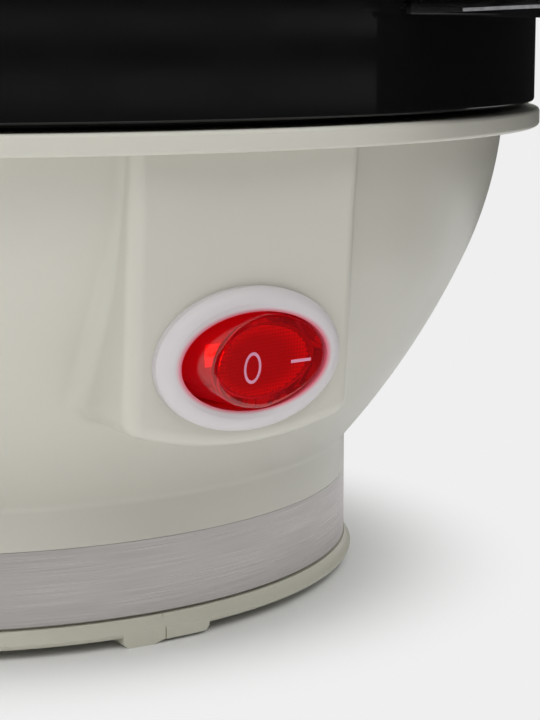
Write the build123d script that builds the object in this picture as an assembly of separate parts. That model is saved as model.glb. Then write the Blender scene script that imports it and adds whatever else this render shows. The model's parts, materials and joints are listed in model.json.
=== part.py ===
from build123d import *
import math
import os

# Electric egg cooker: a cream bowl-shaped base with a flat switch pad, a steel band round its neck and
# a bottom cover, a black egg tray that rests in the base and a clear lid that rests on the tray.
# Millimetres. The origin is at the centre of the base at table level, +Z is up, the switch faces -Y.

os.makedirs("parts", exist_ok=True)

# Clearances
fit_gap = 0.3           # between a moulding and the loose piece that rests in it
seat_gap = 0.05         # between pieces that are fixed to each other
pin_gap = 0.05          # radial, between a pivot pin and its hole
pin_end_gap = 0.2       # between a pin's end and the bottom of its hole
screw_play = 0.15       # radial, between a screw and the hole that it passes
head_play = 0.2         # radial, between a screw's head and its counterbore
pick_reach = 0.01       # for picking edges by their place

# Feet and bottom cover
foot_height = 1.3
foot_width = 13.2
foot_depth = 4.6
foot_shift = 1.4        # of a foot's middle to one side
foot_step = 0.45        # how much shorter its second half is
foot_step_run = 2.0     # length of the S-shaped step between the halves
foot_chamfer = 0.6
foot_count = 4
seam_place = 0.9        # of the mould's parting line beside the front foot's step
seam_width = 0.2
seam_depth = 0.2
cover_overhang = 1.05   # of the cover's rim beyond the neck
cover_rim_height = 2.7
cover_floor = 2.0
cover_flare = 0.9
cover_edge = 0.7        # height of the rim's widest line above its underside
cover_cove = 1.5        # height of the middle of the rim's flare
cover_lip = 0.35        # of the rim's top below the band
cover_step = 0.8        # of the band's seat on the cover behind the neck
cover_slot_count = 8
cover_slot_width = 1.6
cover_slot_length = 9.0
cover_slot_radius = 26.0
register_height = 4.0
register_wall = 1.8

# Housing
wall = 2.4
neck_radius = 57.7
neck_lip = 5.6          # plain cream strip of the neck above the band
band_height = 10.0
band_thickness = 0.45
band_joint = 0.8        # slit where the strip's ends meet
rim_radius = 86.0
rim_height = 68.4       # top of the rim above the table
rim_thickness = 2.6
rim_rounding = 0.55
rim_overhang = 5.4      # of the rim beyond the top of the bowl
shoulder_inset = 5.0    # of the bowl's shoulder behind its top
shoulder_drop = 18.5    # of the shoulder below the rim
bowl_upper_arc = 58.0   # radius of the bowl's side above the shoulder
rim_wall = 3.0
ledge_depth = 4.4       # of the tray's ledge below the rim
ledge_width = 4.1
basin_wall = 2.2
liner_lap = 1.4         # thickness of the liner's wall where it laps into the bowl
plate_drop = 17.0       # of the plate's seat below the tray's ledge
boss_radius = 3.2
cover_boss_radius = 3.9
boss_angles = (90, 210, 330)
screw_radius = 1.5
screw_head_radius = 2.9
screw_head_height = 2.0
screw_reach = 12.0      # into the liner's bosses
head_recess = 0.4       # of a cover screw's head in the cover

# Switch pad, a flat face that leans in towards the table
switch_drop = 27.4      # of the switch's centre below the top of the rim
pad_inset = 5.85        # of the pad's face behind the rim, at the switch's height
pad_lean = 4.0
pad_half_width = 15.8
pad_bottom = 11.1       # below the switch's centre
pad_sag = 2.9           # of the arc along the pad's lower edge
pad_corner = 2.4
pad_rounding = 1.9
pad_depth = 22.0

# Switch, in the pad's plane
bezel_half_length = 12.9
bezel_half_height = 8.75
bezel_edge = 0.9
bezel_rise = 2.2
bezel_land = 1.0
opening_half_length = 10.2
opening_half_height = 6.0
case_wall = 1.3
case_depth = 14.5
case_floor = 1.5
pivot_depth = 3.0       # of the rocker's axis behind the pad's face
pin_radius = 1.2
pin_length = 0.95       # how far a pin stands out of the rocker
rocker_tilt = 11.0
rocker_gap = 0.25
rocker_face = 6.7       # from the rocker's axis to the ends of its face
rocker_skirt = 3.2      # from the rocker's axis to its lower edge
rocker_wall = 1.1
rocker_dish = 0.8       # how deep its face is hollowed
diffuser_margin = 0.5   # between the diffuser's edge and the cap
diffuser_thickness = 0.8
diffuser_teeth = 36
diffuser_tooth = 0.22
post_radius = 1.6
carrier_inset = 0.4     # of the carrier behind the rocker's lower edge
carrier_recess = 3.6    # of the lamp's axis below the diffuser
lamp_radius = 1.3
lamp_length = 6.0
lever_width = 3.2
lever_thickness = 0.6
lever_corner = 1.0
lever_tilt = 7.0
lever_depth = 10.4      # of the lever's axis behind the pad's face
bead_radius = 0.7       # of the ridge that the lever rocks on
blade_width = 4.8
blade_neck_width = 2.8
blade_thickness = 0.6
blade_reach = 7.5       # behind the case
blade_spacing = 7.4

# Heating plate and what hangs under it
plate_gap = 0.6         # between its dish and the liner's bosses
plate_flange = 5.5
plate_thickness = 1.0
plate_corner = 3.0
plate_rounding = 0.6
plate_depth = 5.0
seat_overlap = 3.5      # of the plate's flange over its seat
seat_margin = 1.0       # round the plate's flange
seal_thickness = 1.2
seal_width = 3.4
stud_margin = 0.6       # from a stud to the corner of the dish
stud_angles = (30, 150, 270)
stud_length = 7.4
stud_end = 0.8          # of a stud beyond its nut
clip_width = 9.0
clip_thickness = 1.2
clip_bite = 4.0         # of the clip's upper arm under the seat
nut_across = 5.5
nut_height = 2.4
element_radius = 3.2
element_inset = 5.4     # of the element's outside within the studs' circle
element_flat = 0.4      # how far the tube is pressed flat against the plate
element_opening = 50    # degrees between its two ends
element_drop = 7.0
element_pin_radius = 1.2
element_pin_length = 7.0
thermostat_radius = 7.8
thermostat_height = 6.0
thermostat_rim = 1.2
thermostat_lip = 0.6    # of the rim beyond the case
tab_length = 6.0
tab_width = 4.0
tab_thickness = 0.6
tab_root = 1.0          # of a tab inside the case
tab_rise = 1.2          # above the bottom of the case
strap_thickness = 0.6
strap_foot = 5.0
strap_margin = 2.4      # between the thermostat and its strap
thermostat_strap_width = 5.0
fuse_radius = 2.0
fuse_length = 13.0
fuse_wire_radius = 0.5
fuse_wire_length = 4.0
fuse_gap = 9.2          # from the thermostat to the fuse
fuse_strap_width = 4.0
block_length = 22.0
block_width = 15.0
block_height = 11.0
block_inset = 23.7      # of its middle behind the neck
block_post = 3.0
block_rib = 2.0
block_boss = 4.0
block_thread = 4.0      # of the block's screw in the cover
block_corner = 1.2
block_well_radius = 2.2
block_well_depth = 5.0
block_socket_radius = 1.6
block_socket_height = 3.5

# Cord bushing, at the back
bushing_height = 29.0
bushing_bore = 3.3
bushing_barrel = 5.0
bushing_flange = 7.4
bushing_flange_thickness = 1.8
bushing_lip = 0.7
bushing_chamfer = 0.8
bushing_tail = 2.4      # length of the snap lip's slope
spout_radius = 9.0
spout_margin = 0.3      # of its face beyond the bowl, above the bushing's flange
spout_depth = 22.0

# Egg tray
tray_gap = 0.9          # shadow gap between the rim and the tray's wall
tray_inset = 0.8        # of the tray's wall behind the rim
tray_wall = 2.0
tray_height = 14.7
tray_rounding = 0.5
tray_floor = 2.0
egg_count = 6           # round the middle one
egg_circle = 47.0
egg_hole_radius = 17.5
egg_collar_wall = 1.6
egg_collar_depth = 3.0
egg_hole_chamfer = 1.3
steam_hole_radius = 2.2
steam_hole_circle = 65.0
ear_angle = 33.6        # from the switch towards +X; the tray can be turned on the base
ear_half_width = 27.0
ear_length = 14.8       # beyond the tray's wall
ear_corner = 8.0
ear_thickness = 2.0
ear_slope = 0.5         # how much thicker the ear is at its outer edge
ear_height = 12.1       # of the ear's underside above the tray's wall bottom

# Lid
lid_wall = 2.0
lid_flange = 1.8
lid_overhang = 1.1      # of the flange beyond the tray's wall
lid_skirt_wall = 1.6
lid_skirt_depth = 4.0
lid_rounding = 0.6
dome_inset = 5.3        # of the dome's wall behind the flange's edge
dome_straight = 12.0
dome_shoulder = 30.0
dome_height = 54.0
lip_wall = 1.1
lip_rise = 0.7          # how much higher the lip ends at the ear's outer edge
lip_lift = 0.2          # of the lip's edge above the ear's underside
vent_radius = 1.8
vent_circle = 26.0
vent_count = 3
knob_radius = 15.0
knob_waist = 9.5
knob_foot_flare = 1.0
knob_height = 15.0
knob_foot = 1.6
knob_waist_height = 5.4
knob_brow = 5.7         # of its widest line below its top
knob_edge = 1.8         # from the widest line in to the crown
knob_edge_rise = 2.6    # of the rounded edge's middle above the widest line
knob_edge_bulge = 0.3
knob_crown = 1.1
knob_seat_margin = 0.8
knob_seat_rise = 0.5    # of the flat seat above the dome
knob_screw_radius = 2.0
knob_screw_head = 4.0
knob_screw_head_height = 2.2
washer_radius = 6.5
washer_rim = 2.0
washer_wall = 1.6
washer_thickness = 1.0
knob_bore_depth = 11.0
knob_screw_reach = 9.0  # into the knob

# Heights and radii that follow
bowl_top_radius = rim_radius - rim_overhang
basin_radius = bowl_top_radius - rim_wall
liner_radius = basin_radius + liner_lap
switch_height = rim_height - switch_drop
pad_distance = rim_radius - pad_inset
block_place = neck_radius - block_inset
fuse_place = thermostat_radius + fuse_gap + fuse_radius
cover_radius = neck_radius + cover_overhang
tray_radius = rim_radius - tray_inset
ear_reach = tray_radius + ear_length
lid_radius = tray_radius + lid_overhang
dome_radius = lid_radius - dome_inset
cover_bottom = foot_height
cover_top = cover_bottom + cover_rim_height
cover_floor_top = cover_bottom + cover_floor
neck_bottom = cover_top
band_top = neck_bottom + band_height
crease_height = band_top + neck_lip
rim_bottom = rim_height - rim_thickness
band_seat_radius = neck_radius - band_thickness
ledge_height = rim_height - ledge_depth
ledge_radius = basin_radius - ledge_width
basin_underside = ledge_height - basin_wall
neck_bore = band_seat_radius - wall
boss_circle = neck_bore - fit_gap - cover_boss_radius
boss_bottom = neck_bottom + register_height
plate_wall_radius = boss_circle - boss_radius - plate_gap
plate_flange_radius = plate_wall_radius + plate_flange
seat_radius = plate_flange_radius + seat_margin
seat_hole_radius = plate_flange_radius - seat_overlap
seat_height = ledge_height - plate_drop
seat_underside = seat_height - basin_wall
stud_circle = plate_wall_radius - plate_corner - screw_radius - stud_margin
element_circle = stud_circle - element_inset - element_radius
plate_flange_bottom = seat_height + seal_thickness
plate_underside = plate_flange_bottom - plate_depth
tray_bottom = rim_height + tray_gap
tray_top = tray_bottom + tray_height
tray_skirt_radius = basin_radius - fit_gap
lid_bottom = tray_top
dome_base = lid_bottom + lid_flange
dome_top = dome_base + dome_height
ear_bottom = tray_bottom + ear_height
ear_top = ear_bottom + ear_thickness
block_bottom = cover_floor_top + block_post
case_half_length = opening_half_length + case_wall
case_half_height = opening_half_height + case_wall
post_reach = lever_depth - lever_thickness / 2 - pivot_depth - fit_gap
lever_length = 2 * (blade_spacing + blade_thickness)
knob_seat_top = dome_top + knob_seat_rise
carrier_top = rocker_face - rocker_wall - rocker_dish - diffuser_thickness - carrier_recess

pad_tilt = math.radians(pad_lean)
pad_plane = Plane(
    origin=(0, -pad_distance, switch_height),
    x_dir=(1, 0, 0),
    z_dir=(0, -math.cos(pad_tilt), -math.sin(pad_tilt)),
)


def turned(edges):
    """Solid of revolution about Z from edges or a polyline drawn as (radius, height)."""
    return revolve(Plane.XZ * make_face(edges), Axis.Z)


def profile(*points):
    """Closed outline of straight runs through (radius, height) points."""
    return Polyline(*points, close=True)


def spun(shape, angle, radius=0.0, height=0.0):
    """Shape moved out along -Y by radius and turned about Z from the switch towards +X."""
    return Rot(0, 0, angle) * (Pos(0, -radius, height) * shape)


def post(radius, bottom, top):
    """Upright cylinder on the axis, from bottom to top."""
    return Pos(0, 0, bottom) * Cylinder(radius, top - bottom, align=(Align.CENTER, Align.CENTER, Align.MIN))


def circles_of(solid, radius):
    """Circular edges of one radius, from the lowest up."""
    circles = solid.edges().filter_by(GeomType.CIRCLE)
    return circles.filter_by(lambda edge: abs(edge.radius - radius) < pick_reach).sort_by(Axis.Z)


def on_pad(sketch, height, amount):
    """Sketch in the pad's plane, raised by height and drawn out by amount along its normal."""
    return extrude(pad_plane * (Pos(0, 0, height) * sketch), amount)


def group(shapes):
    """Separate solids kept as one node."""
    return Compound(children=[solid for shape in shapes for solid in shape.solids()])


def save(node, shape):
    shape.label = node
    export_step(shape, f"parts/{node}.step")


def shifted(edge, where, distance):
    """Point of a downward edge, moved towards the axis at a right angle to it."""
    point = edge @ where
    along = edge % where
    return (point.X + distance * along.Y, point.Y - distance * along.X)


def bowl_curve(inset):
    """Two tangent arcs from under the rim to the crease at the neck, moved in by inset."""
    crease = (neck_radius, crease_height)
    shoulder = (bowl_top_radius - shoulder_inset, rim_bottom - shoulder_drop)
    upper = RadiusArc((bowl_top_radius, rim_bottom), shoulder, bowl_upper_arc)
    lower = TangentArc(shoulder, crease, tangent=upper % 1)
    if inset == 0:
        return upper, lower
    middle = shifted(upper, 1, inset)
    inner_upper = RadiusArc(shifted(upper, 0, inset), middle, bowl_upper_arc - inset)
    inner_lower = TangentArc(middle, shifted(lower, 1, inset), tangent=upper % 1)
    return inner_upper, inner_lower


def base_block():
    """Outside of the bowl and neck, solid to the axis."""
    upper, lower = bowl_curve(0)
    edges = [upper, lower]
    edges.append(Polyline(
        lower @ 1,
        (neck_radius, band_top),
        (band_seat_radius, band_top),
        (band_seat_radius, neck_bottom),
        (0, neck_bottom),
        (0, rim_bottom),
        upper @ 0,
    ))
    return turned(edges)


def pad_outline(inset):
    """Front outline of the switch pad: straight sides and an arc along the bottom."""
    side = pad_half_width - inset
    corner = inset - pad_bottom + pad_sag
    top = (rim_height - switch_height) / math.cos(pad_tilt)
    edges = [
        Polyline((-side, corner), (-side, top), (side, top), (side, corner)),
        ThreePointArc((side, corner), (0, inset - pad_bottom), (-side, corner)),
    ]
    sketch = Sketch() + make_face(edges)
    low = sketch.vertices().sort_by(Axis.Y)[:2]
    return fillet(low, pad_corner)


def pad_block():
    block = on_pad(pad_outline(0), 0, -pad_depth)
    front = block.faces().sort_by_distance(pad_plane.origin)[0]
    return fillet(front.edges(), pad_rounding)


def inner_void():
    """Hollow of the bowl and neck."""
    upper, lower = bowl_curve(wall)
    edges = [upper, lower]
    edges.append(Polyline(
        lower @ 1,
        (neck_bore, (lower @ 1).Y - (lower @ 1).X + neck_bore),
        (neck_bore, neck_bottom),
        (0, neck_bottom),
        (0, (upper @ 0).Y),
        upper @ 0,
    ))
    return turned(edges)


def bowl_radius(height):
    """Outer radius of the bowl at a height between its crease and its shoulder."""
    lower = bowl_curve(0)[1]
    near, far = 0.0, 1.0
    for _ in range(30):
        middle = (near + far) / 2
        if (lower @ middle).Y > height:
            near = middle
        else:
            far = middle
    return (lower @ near).X


def bushing_axis(shape):
    """Shape drawn about Z, laid along +Y with its origin on the spout's face."""
    face = bowl_radius(bushing_height + bushing_flange) + spout_margin
    return Pos(0, face, bushing_height) * (Rot(-90, 0, 0) * shape)


def base_housing():
    """Bowl, neck, switch pad and cord spout in one moulding, open above for the liner."""
    spout = bushing_axis(post(spout_radius, -spout_depth, 0))
    pocket = bushing_axis(post(spout_radius - wall, -spout_depth - 1, -wall))
    shell = base_block() + pad_block() + spout
    shell = shell - inner_void() - on_pad(pad_outline(wall), -wall, -pad_depth) - pocket
    shell = shell - post(liner_radius + seat_gap, basin_underside - seat_gap, rim_height)
    shell = shell - post(2 * rim_radius, rim_bottom, 2 * rim_height)
    case_hole = Ellipse(case_half_length + seat_gap, case_half_height + seat_gap)
    shell = shell - on_pad(case_hole, 1, -wall - 3)
    return shell - bushing_axis(post(bushing_barrel + seat_gap, -wall - 1, 1))


def basin_liner():
    """Rim, ledge and basin in one moulding that laps into the bowl, with bosses down to the cover."""
    liner = turned(profile(
        (seat_hole_radius, seat_underside),
        (seat_radius, seat_underside),
        (ledge_radius, basin_underside),
        (liner_radius, basin_underside),
        (liner_radius, rim_bottom),
        (rim_radius, rim_bottom),
        (rim_radius, rim_height),
        (basin_radius, rim_height),
        (basin_radius, ledge_height),
        (ledge_radius, ledge_height),
        (seat_radius, seat_height),
        (seat_hole_radius, seat_height),
    ))
    liner = fillet(circles_of(liner, rim_radius), rim_rounding)
    boss = post(boss_radius, boss_bottom, seat_underside)
    bore = post(screw_radius + seat_gap, boss_bottom - 1, boss_bottom + screw_reach + 2)
    for angle in boss_angles:
        liner = liner + spun(boss, angle, boss_circle)
    for angle in boss_angles:
        liner = liner - spun(bore, angle, boss_circle)
    return liner


def trim_band():
    """Brushed strip let into the neck, with its ends meeting at the back."""
    ring = turned(profile(
        (band_seat_radius + seat_gap, neck_bottom + seat_gap),
        (neck_radius, neck_bottom + seat_gap),
        (neck_radius, band_top - seat_gap),
        (band_seat_radius + seat_gap, band_top - seat_gap),
    ))
    return ring - Pos(0, neck_radius, neck_bottom) * Box(band_joint, 4 * band_height, 4 * band_height)


def foot(angle):
    """Moulded foot flush with the rim, with an S-shaped step to its shorter half."""
    ring = Circle(cover_radius) - Circle(cover_radius - foot_depth)
    strip = Pos(foot_shift, -cover_radius + foot_depth / 2) * Rectangle(foot_width, 2 * foot_depth)
    top = cover_bottom + cover_edge
    left = foot_shift - foot_width / 2
    right = foot_shift + foot_width / 2
    step = seam_place - foot_step_run
    side = make_face([
        Polyline(
            (seam_place, foot_step),
            (right - foot_chamfer, foot_step),
            (right, foot_step + foot_chamfer),
            (right, top),
            (left, top),
            (left, foot_chamfer),
            (left + foot_chamfer, 0),
            (step, 0),
        ),
        Spline((step, 0), (seam_place, foot_step), tangents=[(1, 0), (1, 0)]),
    ])
    block = extrude(Plane.XZ * side, 2 * cover_radius)
    return Rot(0, 0, angle) * (extrude(ring & strip, top) & block)


def parting_line():
    """Fine groove down the rim's face, where two halves of the mould met."""
    inner = cover_radius - seam_depth
    groove = make_face(profile(
        (inner, -1),
        (inner, cover_bottom + cover_edge),
        (inner - cover_flare, cover_top - cover_lip),
        (inner - cover_flare, cover_top + 1),
        (cover_radius + 1, cover_top + 1),
        (cover_radius + 1, -1),
    ))
    wide = math.degrees(seam_width / cover_radius)
    place = math.degrees(seam_place / cover_radius)
    return Rot(0, 0, place - 90) * revolve(Plane.XZ * groove, Axis.Z, wide)


def bottom_cover():
    """Dished cover: flared rim under the band, register ring inside the neck, bosses and feet."""
    inner = neck_bore - fit_gap
    edges = [
        Polyline(
            (0, cover_bottom),
            (cover_radius - cover_edge, cover_bottom),
        ),
        RadiusArc(
            (cover_radius - cover_edge, cover_bottom),
            (cover_radius, cover_bottom + cover_edge),
            -cover_edge,
        ),
        ThreePointArc(
            (cover_radius, cover_bottom + cover_edge),
            (cover_radius - cover_flare * 0.75, cover_bottom + cover_cove),
            (cover_radius - cover_flare, cover_top - cover_lip),
        ),
        Polyline(
            (cover_radius - cover_flare, cover_top - cover_lip),
            (neck_radius - cover_step, cover_top - cover_lip),
            (neck_radius - cover_step, cover_top),
            (inner, cover_top),
            (inner, cover_top + register_height),
            (inner - register_wall, cover_top + register_height),
            (inner - register_wall, cover_floor_top),
            (0, cover_floor_top),
            (0, cover_bottom),
        ),
    ]
    cover = turned(edges)
    for index in range(foot_count):
        cover = cover + foot(index * 360 / foot_count)
    cover = cover - parting_line()
    for angle in boss_angles:
        cover = cover + spun(post(cover_boss_radius, cover_bottom, boss_bottom), angle, boss_circle)
    for angle in boss_angles:
        counterbore = post(
            screw_head_radius + head_play, cover_bottom - 1, cover_bottom + head_recess + screw_head_height
        )
        bore = post(screw_radius + screw_play, cover_bottom - 1, boss_bottom + 1)
        cover = cover - spun(counterbore + bore, angle, boss_circle)
    slot = extrude(SlotOverall(cover_slot_length, cover_slot_width), cover_floor + 2)
    for index in range(cover_slot_count):
        angle = (index + 0.5) * 360 / cover_slot_count
        cover = cover - spun(Rot(0, 0, 90) * slot, angle, cover_slot_radius, cover_bottom - 1)
    cover = cover + Pos(0, block_place, 0) * post(block_boss, cover_floor_top, block_bottom)
    for side in (-1, 1):
        rib = Box(block_rib, block_width - block_rib, block_post)
        place = side * (block_length / 2 - block_rib)
        cover = cover + Pos(place, block_place, cover_floor_top + block_post / 2) * rib
    return cover - Pos(0, block_place, 0) * post(
        screw_radius + seat_gap, block_bottom - block_thread - fit_gap, block_bottom + 1
    )


def cover_screws():
    head_bottom = cover_bottom + head_recess
    head_top = head_bottom + screw_head_height
    tip = boss_bottom + screw_reach
    screw = post(screw_head_radius, head_bottom, head_top) + post(screw_radius, head_top, tip)
    return group([spun(screw, angle, boss_circle) for angle in boss_angles])


def heating_plate():
    """Pressed dish with a flat flange, and three studs welded under it."""
    t = plate_thickness
    mitre = t * math.tan(math.pi / 8)
    top = plate_flange_bottom + t
    low = plate_underside
    dish = turned(profile(
        (0, low),
        (plate_wall_radius - plate_corner, low),
        (plate_wall_radius, low + plate_corner),
        (plate_wall_radius, plate_flange_bottom),
        (plate_flange_radius, plate_flange_bottom),
        (plate_flange_radius, top),
        (plate_wall_radius - t, top),
        (plate_wall_radius - t, low + plate_corner + mitre),
        (plate_wall_radius - plate_corner - mitre, low + t),
        (0, low + t),
    ))
    dish = fillet(circles_of(dish, plate_wall_radius - t)[-1:], plate_rounding)
    for angle in stud_angles:
        dish = dish + spun(post(screw_radius, low - stud_length, low), angle, stud_circle)
    return dish


def plate_seal():
    outer = plate_flange_radius
    return turned(profile(
        (outer - seal_width, seat_height),
        (outer, seat_height),
        (outer, plate_flange_bottom),
        (outer - seal_width, plate_flange_bottom),
    ))


def clip_rest():
    """Height of the clips' lower arm."""
    return plate_underside - stud_length + stud_end + nut_height


def plate_clips():
    """Stepped straps from the studs to the underside of the plate's seat."""
    low = clip_rest()
    t = clip_thickness
    top = seat_underside
    inner = stud_circle - clip_width / 2
    step = plate_wall_radius + 2 * fit_gap
    outer = seat_hole_radius + clip_bite
    side = make_face(profile(
        (inner, low),
        (step + t, low),
        (step + t, top - t),
        (outer, top - t),
        (outer, top),
        (step, top),
        (step, low + t),
        (inner, low + t),
    ))
    strap = extrude(Plane.YZ * (Rot(0, 180, 0) * side), clip_width / 2, both=True)
    hole = Pos(0, -stud_circle, 0) * post(screw_radius + screw_play, low - 1, low + t + 1)
    return group([Rot(0, 0, angle) * (strap - hole) for angle in stud_angles])


def clip_nuts():
    nut = extrude(RegularPolygon(nut_across / math.sqrt(3), 6), nut_height)
    nut = nut - post(screw_radius + seat_gap, -1, nut_height + 1)
    height = clip_rest() - nut_height
    return group([spun(nut, angle, stud_circle, height) for angle in stud_angles])


def element_end(side):
    """Direction of one end of the element from the switch, in degrees."""
    return 180 + side * element_opening / 2


def heater_element():
    """Tube bent to an open ring, pressed flat against the plate, with both ends turned down."""
    height = plate_underside - element_radius + element_flat
    tube = Pos(0, 0, height) * Torus(element_circle, element_radius)
    half = math.radians(element_opening / 2)
    reach = 2 * element_circle
    wedge = make_face(Polyline(
        (0, 0),
        (reach * math.sin(half), reach * math.cos(half)),
        (-reach * math.sin(half), reach * math.cos(half)),
        close=True,
    ))
    tube = tube - extrude(wedge, 2 * plate_underside)
    end = post(element_radius, -element_drop, element_radius)
    end = end + post(element_pin_radius, -element_drop - element_pin_length, -element_drop)
    for side in (-1, 1):
        tube = tube + spun(end, element_end(side), element_circle, height)
    return tube - post(reach, plate_underside, 2 * plate_underside)


def thermostat():
    """Snap disc in its round case, with two flat tabs."""
    top = plate_underside
    case = post(thermostat_radius, top - thermostat_height, top - thermostat_rim)
    case = case + post(thermostat_radius + thermostat_lip, top - thermostat_rim, top)
    for side in (-1, 1):
        tab = Box(tab_width, tab_length + tab_root, tab_thickness)
        place = thermostat_radius + (tab_length - tab_root) / 2
        case = case + Pos(0, side * place, top - thermostat_height + tab_rise) * tab
    return case


def strap_over(half_span, depth, width):
    """Flat strap that hangs under a round piece, with its two feet against the plate."""
    t = strap_thickness
    outline = make_face(Polyline(
        (-half_span - strap_foot, 0),
        (-half_span + t, 0),
        (-half_span + t, -depth),
        (half_span - t, -depth),
        (half_span - t, 0),
        (half_span + strap_foot, 0),
        (half_span + strap_foot, -t),
        (half_span, -t),
        (half_span, -depth - t),
        (-half_span, -depth - t),
        (-half_span, -t),
        (-half_span - strap_foot, -t),
        close=True,
    ))
    return Pos(0, 0, plate_underside) * extrude(Plane.XZ * outline, width / 2, both=True)


def thermostat_strap():
    return strap_over(thermostat_radius + strap_margin, thermostat_height, thermostat_strap_width)


def thermal_fuse():
    """Small sealed cylinder lying against the plate, with a wire at each end."""
    body = Cylinder(fuse_radius, fuse_length)
    for side in (-1, 1):
        wire = Cylinder(fuse_wire_radius, fuse_wire_length)
        body = body + Pos(0, 0, side * (fuse_length + fuse_wire_length) / 2) * wire
    return Pos(0, fuse_place, plate_underside - fuse_radius - seat_gap) * (Rot(0, 90, 0) * body)


def fuse_strap():
    half_span = fuse_radius + strap_thickness + fit_gap
    strap = strap_over(half_span, 2 * (fuse_radius + 2 * seat_gap), fuse_strap_width)
    return Pos(0, fuse_place, 0) * (Rot(0, 0, 90) * strap)


def terminal_block():
    """Two-way block on two low posts of the cover, with a through hole for its screw."""
    low = block_bottom
    block = Pos(0, block_place, low + block_height / 2) * Box(block_length, block_width, block_height)
    block = fillet(block.edges().filter_by(Axis.Z), block_corner)
    top = low + block_height
    for side in (-1, 1):
        well = post(block_well_radius, top - block_well_depth, top + 1)
        socket = Rot(90, 0, 0) * Cylinder(block_socket_radius, 2 * block_width)
        block = block - Pos(side * block_length / 4, block_place, 0) * well
        block = block - Pos(side * block_length / 4, block_place, low + block_socket_height) * socket
    return block - Pos(0, block_place, 0) * post(screw_radius + seat_gap, low - 1, top + 1)


def block_screw():
    top = block_bottom + block_height
    head = post(screw_head_radius, top, top + screw_head_height)
    return Pos(0, block_place, 0) * (head + post(screw_radius, block_bottom - block_thread, top))


def cord_bushing():
    """Soft ring with a flange outside and a snap lip inside the wall."""
    t = bushing_flange_thickness
    lip = bushing_barrel + bushing_lip
    behind = -wall - seat_gap
    ring = turned(profile(
        (bushing_bore, t),
        (bushing_flange - bushing_chamfer, t),
        (bushing_flange, t - bushing_chamfer),
        (bushing_flange, 0),
        (bushing_barrel, 0),
        (bushing_barrel, behind),
        (lip, behind),
        (bushing_barrel, behind - bushing_tail),
        (bushing_bore, behind - bushing_tail),
    ))
    return bushing_axis(ring)


def switch_housing():
    """Oval bezel with a domed face, and the case behind it, in one moulding."""
    foot_oval = Ellipse(bezel_half_length, bezel_half_height)
    bezel = on_pad(foot_oval, 0, bezel_edge)
    slope = bezel_half_length - opening_half_length - bezel_land
    ovals = []
    for share, rise in ((0.0, 0.0), (0.4, 0.68), (1.0, 1.0)):
        inset = slope * share
        height = bezel_edge + (bezel_rise - bezel_edge) * rise
        oval = Ellipse(bezel_half_length - inset, bezel_half_height - inset)
        ovals.append(pad_plane * (Pos(0, 0, height) * oval))
    bezel = bezel + loft(ovals)
    case = on_pad(Ellipse(case_half_length, case_half_height), 0, -case_depth)
    opening = Ellipse(opening_half_length, opening_half_height)
    housing = bezel + case - on_pad(opening, bezel_rise + 1, case_floor - case_depth - bezel_rise - 1)
    pin_reach = opening_half_height - rocker_gap + pin_length + pin_end_gap
    pin_hole = Cylinder(pin_radius + pin_gap, 2 * pin_reach)
    housing = housing - pad_plane * (Pos(0, 0, -pivot_depth) * (Rot(90, 0, 0) * pin_hole))
    for place in (-blade_spacing, 0, blade_spacing):
        slot = Rectangle(blade_thickness + 2 * seat_gap, blade_width + 2 * seat_gap)
        housing = housing - on_pad(Pos(place, 0) * slot, -case_depth - 1, case_floor + 2)
    return housing


def switch_terminals():
    """Blades through the case's floor: the middle one carries the lever, the outer two are touched."""
    floor_top = -case_depth + case_floor
    lever_underside = -lever_depth - lever_thickness / 2
    drop = lever_length / 2 * math.sin(math.radians(lever_tilt))
    blades = []
    for place in (-blade_spacing, 0, blade_spacing):
        top = -lever_depth - bead_radius - pin_gap
        if place != 0:
            top = lever_underside - drop - fit_gap
        blade = Rectangle(blade_thickness, blade_width)
        low = -case_depth - blade_reach
        solid = on_pad(Pos(place, 0) * blade, low, floor_top - low)
        neck = Rectangle(blade_thickness, blade_neck_width)
        solid = solid + on_pad(Pos(place, 0) * neck, floor_top, top - floor_top)
        blades.append(solid)
    return group(blades)


def in_rocker(shape, depth, tilt):
    """Shape drawn about a pivot at its own origin, put in the switch and tilted as at rest."""
    return pad_plane * (Pos(0, 0, -depth) * (Rot(0, tilt, 0) * shape))


def rocker_prism(inset):
    """Stock that clears the opening at both ends of the rocker's travel."""
    oval = Ellipse(opening_half_length - rocker_gap - inset, opening_half_height - rocker_gap - inset)
    column = extrude(oval, 2 * rocker_face, both=True)
    return (Rot(0, rocker_tilt, 0) * column) & (Rot(0, -rocker_tilt, 0) * column)


def dish_cutter(height):
    """Large cylinder that hollows the rocker's face, its lowest line rocker_dish below height."""
    half_chord = opening_half_length - rocker_gap - rocker_face * math.tan(math.radians(rocker_tilt))
    radius = (half_chord ** 2 + rocker_dish ** 2) / (2 * rocker_dish)
    cylinder = Cylinder(radius, 4 * opening_half_height)
    return Pos(0, 0, height + radius - rocker_dish) * (Rot(90, 0, 0) * cylinder)


def slab(bottom, top):
    """Wide block between two heights."""
    return Pos(0, 0, (bottom + top) / 2) * Box(4 * bezel_half_length, 4 * bezel_half_length, top - bottom)


def rocker_cap():
    """Translucent shell of the rocker, open below, with its two pivot pins."""
    outside = (rocker_prism(0) & slab(-rocker_skirt, rocker_face)) - dish_cutter(rocker_face)
    inner_top = rocker_face - rocker_wall
    inside = (rocker_prism(rocker_wall) & slab(-rocker_skirt - 1, inner_top)) - dish_cutter(inner_top)
    shell = outside - inside
    for side in (-1, 1):
        pin = Cylinder(pin_radius, pin_length + rocker_wall)
        middle = opening_half_height - rocker_gap + (pin_length - rocker_wall) / 2
        shell = shell + Pos(0, side * middle, 0) * (Rot(90, 0, 0) * pin)
    return in_rocker(shell, pivot_depth, rocker_tilt)


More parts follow.
